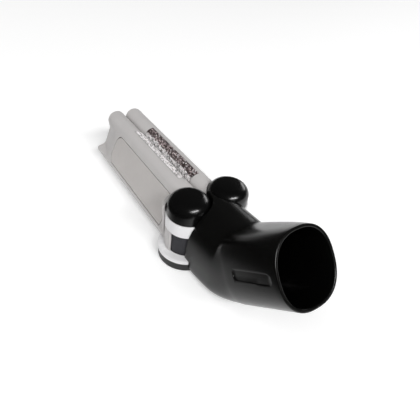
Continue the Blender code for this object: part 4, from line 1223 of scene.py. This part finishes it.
def camera(context):
    """Camera that looks down on the nozzle from the left of its socket."""
    studio = context.scene.nozzle_studio
    az, el, roll = studio.azimuth, studio.elevation, studio.roll
    back = Vector((math.sin(az) * math.cos(el), -math.cos(az) * math.cos(el), math.sin(el)))
    place = Vector(studio.target) + Vector((0, HINGE_Y, 0)) + back * studio.distance
    right = (-back).cross(Vector((0, 0, 1))).normalized()
    up = right.cross(-back)
    across = right * math.cos(roll) - up * math.sin(roll)
    upward = right * math.sin(roll) + up * math.cos(roll)
    deselect()
    bpy.ops.object.camera_add()
    eye = bpy.context.object
    eye.name = "camera"
    turn = Matrix((across, upward, back)).transposed().to_4x4()
    eye.matrix_world = Matrix.Translation(place) @ turn
    eye.data.sensor_width = 36.0
    eye.data.lens = studio.lens
    eye.data.clip_start = 0.01
    eye.data.clip_end = 20.0
    context.scene.camera = eye


def soft_light(name, azimuth, elevation, distance, width, height, level):
    """Area lamp at an angle from the nozzle. At a level of 1 it alone lights a colour as written."""
    az = math.radians(azimuth)
    el = math.radians(elevation)
    towards = Vector((math.sin(az) * math.cos(el), -math.cos(az) * math.cos(el), math.sin(el)))
    deselect()
    bpy.ops.object.light_add(type="AREA", location=towards * distance)
    lamp = bpy.context.object
    lamp.name = name
    lamp.data.shape = "RECTANGLE"
    lamp.data.size = width
    lamp.data.size_y = height
    lamp.data.energy = level * (math.pi * distance) ** 2
    lamp.rotation_euler = (-towards).to_track_quat("-Z", "Y").to_euler()
    return lamp


def floor(context):
    """White table. Where it is seen itself or mirrored it adds a little light, and keeps the shadow.

    Mirrored, it turns dark some way to the left of the nozzle: a painted dark reflection, seen only in
    mirrored rays, with no cloth there.
    """
    studio = context.scene.nozzle_studio
    deselect()
    bpy.ops.mesh.primitive_plane_add(size=8.0)
    table = bpy.context.object
    table.name = "floor"
    surface = material("floor", studio.floor, 0.7)
    shader = surface.node_tree.nodes["Principled BSDF"]
    shader.inputs["Specular IOR Level"].default_value = 0.1
    shader.inputs["Emission Color"].default_value = (1, 1, 1, 1)
    path = node(surface, "ShaderNodeLightPath").outputs
    mirrored_ray = path["Is Glossy Ray"]
    seen = combined(surface, "MAXIMUM", path["Is Camera Ray"], mirrored_ray)
    seen = combined(surface, "MAXIMUM", seen, path["Is Transmission Ray"])
    glow = spread(surface, seen, 0.0, studio.backdrop, 0.0, 1.0)
    link(surface, glow, shader.inputs["Emission Strength"])
    across = node(surface, "ShaderNodeSeparateXYZ")
    link(surface, node(surface, "ShaderNodeTexCoord").outputs["Object"], across.inputs["Vector"])
    # painted dark reflection: past this distance to the left, mirrored rays see black instead of the
    # table
    mirrored_shade_mask = spread(surface, across.outputs["X"], 0.0, 1.0, -0.4 * studio.cloth, -studio.cloth)
    cloth = node(surface, "ShaderNodeBsdfDiffuse", Color=(0.03, 0.03, 0.03, 1))
    shaded = node(surface, "ShaderNodeMixShader")
    link(surface, combined(surface, "MULTIPLY", mirrored_shade_mask, mirrored_ray), shaded.inputs["Fac"])
    link(surface, shader.outputs["BSDF"], shaded.inputs[1])
    link(surface, cloth.outputs["BSDF"], shaded.inputs[2])
    output = surface.node_tree.nodes["Material Output"]
    link(surface, shaded.outputs["Shader"], output.inputs["Surface"])
    table.data.materials.append(surface)


def room(context):
    """A dim room, white where the camera sees it."""
    studio = context.scene.nozzle_studio
    world = bpy.data.worlds.new("studio")
    world.use_nodes = True
    backdrop = world.node_tree.nodes["Background"]
    backdrop.inputs["Color"].default_value = (1, 1, 1, 1)
    seen = node(world, "ShaderNodeLightPath").outputs["Is Camera Ray"]
    link(world, spread(world, seen, studio.world, 1.0, 0.0, 1.0), backdrop.inputs["Strength"])
    context.scene.world = world


# Operators


class NOZZLE_OT_finishes(bpy.types.Operator):
    """Mixes the finishes and lays them on the CAD nodes"""

    bl_idname = "nozzle.finishes"
    bl_label = "Finishes"

    def execute(self, context):
        tints = context.scene.nozzle_finishes
        grain = context.scene.nozzle_sizes.grain
        moulded("neck_black", tints.neck, 0.24, 2600.0, grain / 5, specular=0.28)
        moulded("cover_black", tints.cover, 0.42, 2200.0, grain / 2, specular=0.3)
        moulded("cap_black", tints.cap, 0.22, 2600.0, grain / 6, specular=0.4)
        moulded("sleeve_black", tints.sleeve, 0.45, 2200.0, grain / 2, specular=0.25)
        moulded("arm_grey", tints.arm, 0.46, 2600.0, grain, 0.03)
        moulded("panel_grey", tints.panel, 0.52, 1900.0, grain * 1.5, 0.035)
        moulded("silver", tints.silver, 0.3, 3000.0, grain / 4, 0.03)
        turned_steel(tints.steel)
        lint_pile(tints.pile_dark)
        slots = {
            "neck_body": "neck_black", "lower_cover": "cover_black", "base_plate": "silver",
            "pivot_cap": "cap_black", "port_sleeve": "sleeve_black", "arm": "arm_grey",
            "side_panel": "panel_grey", "lint_strip": "lint", "trim_ring": "silver",
        }
        for name, item in NODES.items():
            word = name.removeprefix("left_").removeprefix("right_")
            item.data.materials.clear()
            item.data.materials.append(finish_of(slots.get(word, "steel")))
        return {"FINISHED"}


class NOZZLE_OT_neck(bpy.types.Operator):
    """Models the elbow neck with its fork, bore and bare badge recess"""

    bl_idname = "nozzle.neck"
    bl_label = "Neck"

    def execute(self, context):
        neck_form()
        return {"FINISHED"}


class NOZZLE_OT_base(bpy.types.Operator):
    """Models the silver base plate and the lower cover"""

    bl_idname = "nozzle.base"
    bl_label = "Base plate and lower cover"

    def execute(self, context):
        base_form()
        cover_form()
        return {"FINISHED"}


class NOZZLE_OT_columns(bpy.types.Operator):
    """Models the hinge caps and the silver trim rings"""

    bl_idname = "nozzle.columns"
    bl_label = "Caps and trim rings"

    def execute(self, context):
        cap_form()
        ring_form()
        return {"FINISHED"}


class NOZZLE_OT_arms(bpy.types.Operator):
    """Models the two suction arms"""

    bl_idname = "nozzle.arms"
    bl_label = "Arms"

    def execute(self, context):
        arm_form()
        return {"FINISHED"}


class NOZZLE_OT_panels(bpy.types.Operator):
    """Models the inlaid side panels"""

    bl_idname = "nozzle.panels"
    bl_label = "Side panels"

    def execute(self, context):
        panel_form()
        return {"FINISHED"}


class NOZZLE_OT_lint(bpy.types.Operator):
    """Sets the pile of the two lint strips"""

    bl_idname = "nozzle.lint"
    bl_label = "Lint strips"

    def execute(self, context):
        # edge in degrees where the painted sheen gives way to painted shade; on the left strip the sheen
        # covers the whole strip
        lint_form("right", 43, 5)
        lint_form("left", 120, 9)
        return {"FINISHED"}


class NOZZLE_OT_studio(bpy.types.Operator):
    """Sets up the table, the lights and the camera"""

    bl_idname = "nozzle.studio"
    bl_label = "Studio"

    def execute(self, context):
        studio = context.scene.nozzle_studio
        floor(context)
        room(context)
        key = soft_light("key", -80, 52, 5.4, 7.0, 7.0, studio.key)
        key.visible_glossy = False
        soft_light("rim", 110, 20, 4.8, 2.3, 1.2, studio.rim)
        soft_light("front", 2, 40, 4.2, 2.5, 0.7, studio.front)
        camera(context)
        return {"FINISHED"}


STEPS = (
    NOZZLE_OT_finishes,
    NOZZLE_OT_neck,
    NOZZLE_OT_base,
    NOZZLE_OT_columns,
    NOZZLE_OT_arms,
    NOZZLE_OT_panels,
    NOZZLE_OT_lint,
    NOZZLE_OT_studio,
)


class NOZZLE_PT_sidebar(bpy.types.Panel):
    """Colours, sizes and steps of the nozzle"""

    bl_idname = "NOZZLE_PT_sidebar"
    bl_label = "Upholstery Nozzle"
    bl_space_type = "VIEW_3D"
    bl_region_type = "UI"
    bl_category = "Nozzle"

    def draw(self, context):
        scene = context.scene
        for group in (scene.nozzle_finishes, scene.nozzle_sizes, scene.nozzle_studio):
            box = self.layout.box()
            for name in type(group).__annotations__:
                box.prop(group, name)
        for step in STEPS:
            self.layout.operator(step.bl_idname)


CLASSES = (NozzleFinishes, NozzleSizes, NozzleStudio, *STEPS, NOZZLE_PT_sidebar)


def register():
    for item in CLASSES:
        bpy.utils.register_class(item)
    bpy.types.Scene.nozzle_finishes = bpy.props.PointerProperty(type=NozzleFinishes)
    bpy.types.Scene.nozzle_sizes = bpy.props.PointerProperty(type=NozzleSizes)
    bpy.types.Scene.nozzle_studio = bpy.props.PointerProperty(type=NozzleStudio)


def unregister():
    del bpy.types.Scene.nozzle_studio
    del bpy.types.Scene.nozzle_sizes
    del bpy.types.Scene.nozzle_finishes
    for item in reversed(CLASSES):
        bpy.utils.unregister_class(item)


def main():
    register()
    bpy.ops.nozzle.finishes()
    bpy.ops.nozzle.neck()
    bpy.ops.nozzle.base()
    bpy.ops.nozzle.columns()
    bpy.ops.nozzle.arms()
    bpy.ops.nozzle.panels()
    bpy.ops.nozzle.lint()
    bpy.ops.nozzle.studio()
    bpy.context.scene.view_settings.view_transform = "Standard"


if __name__ == "__main__":
    main()
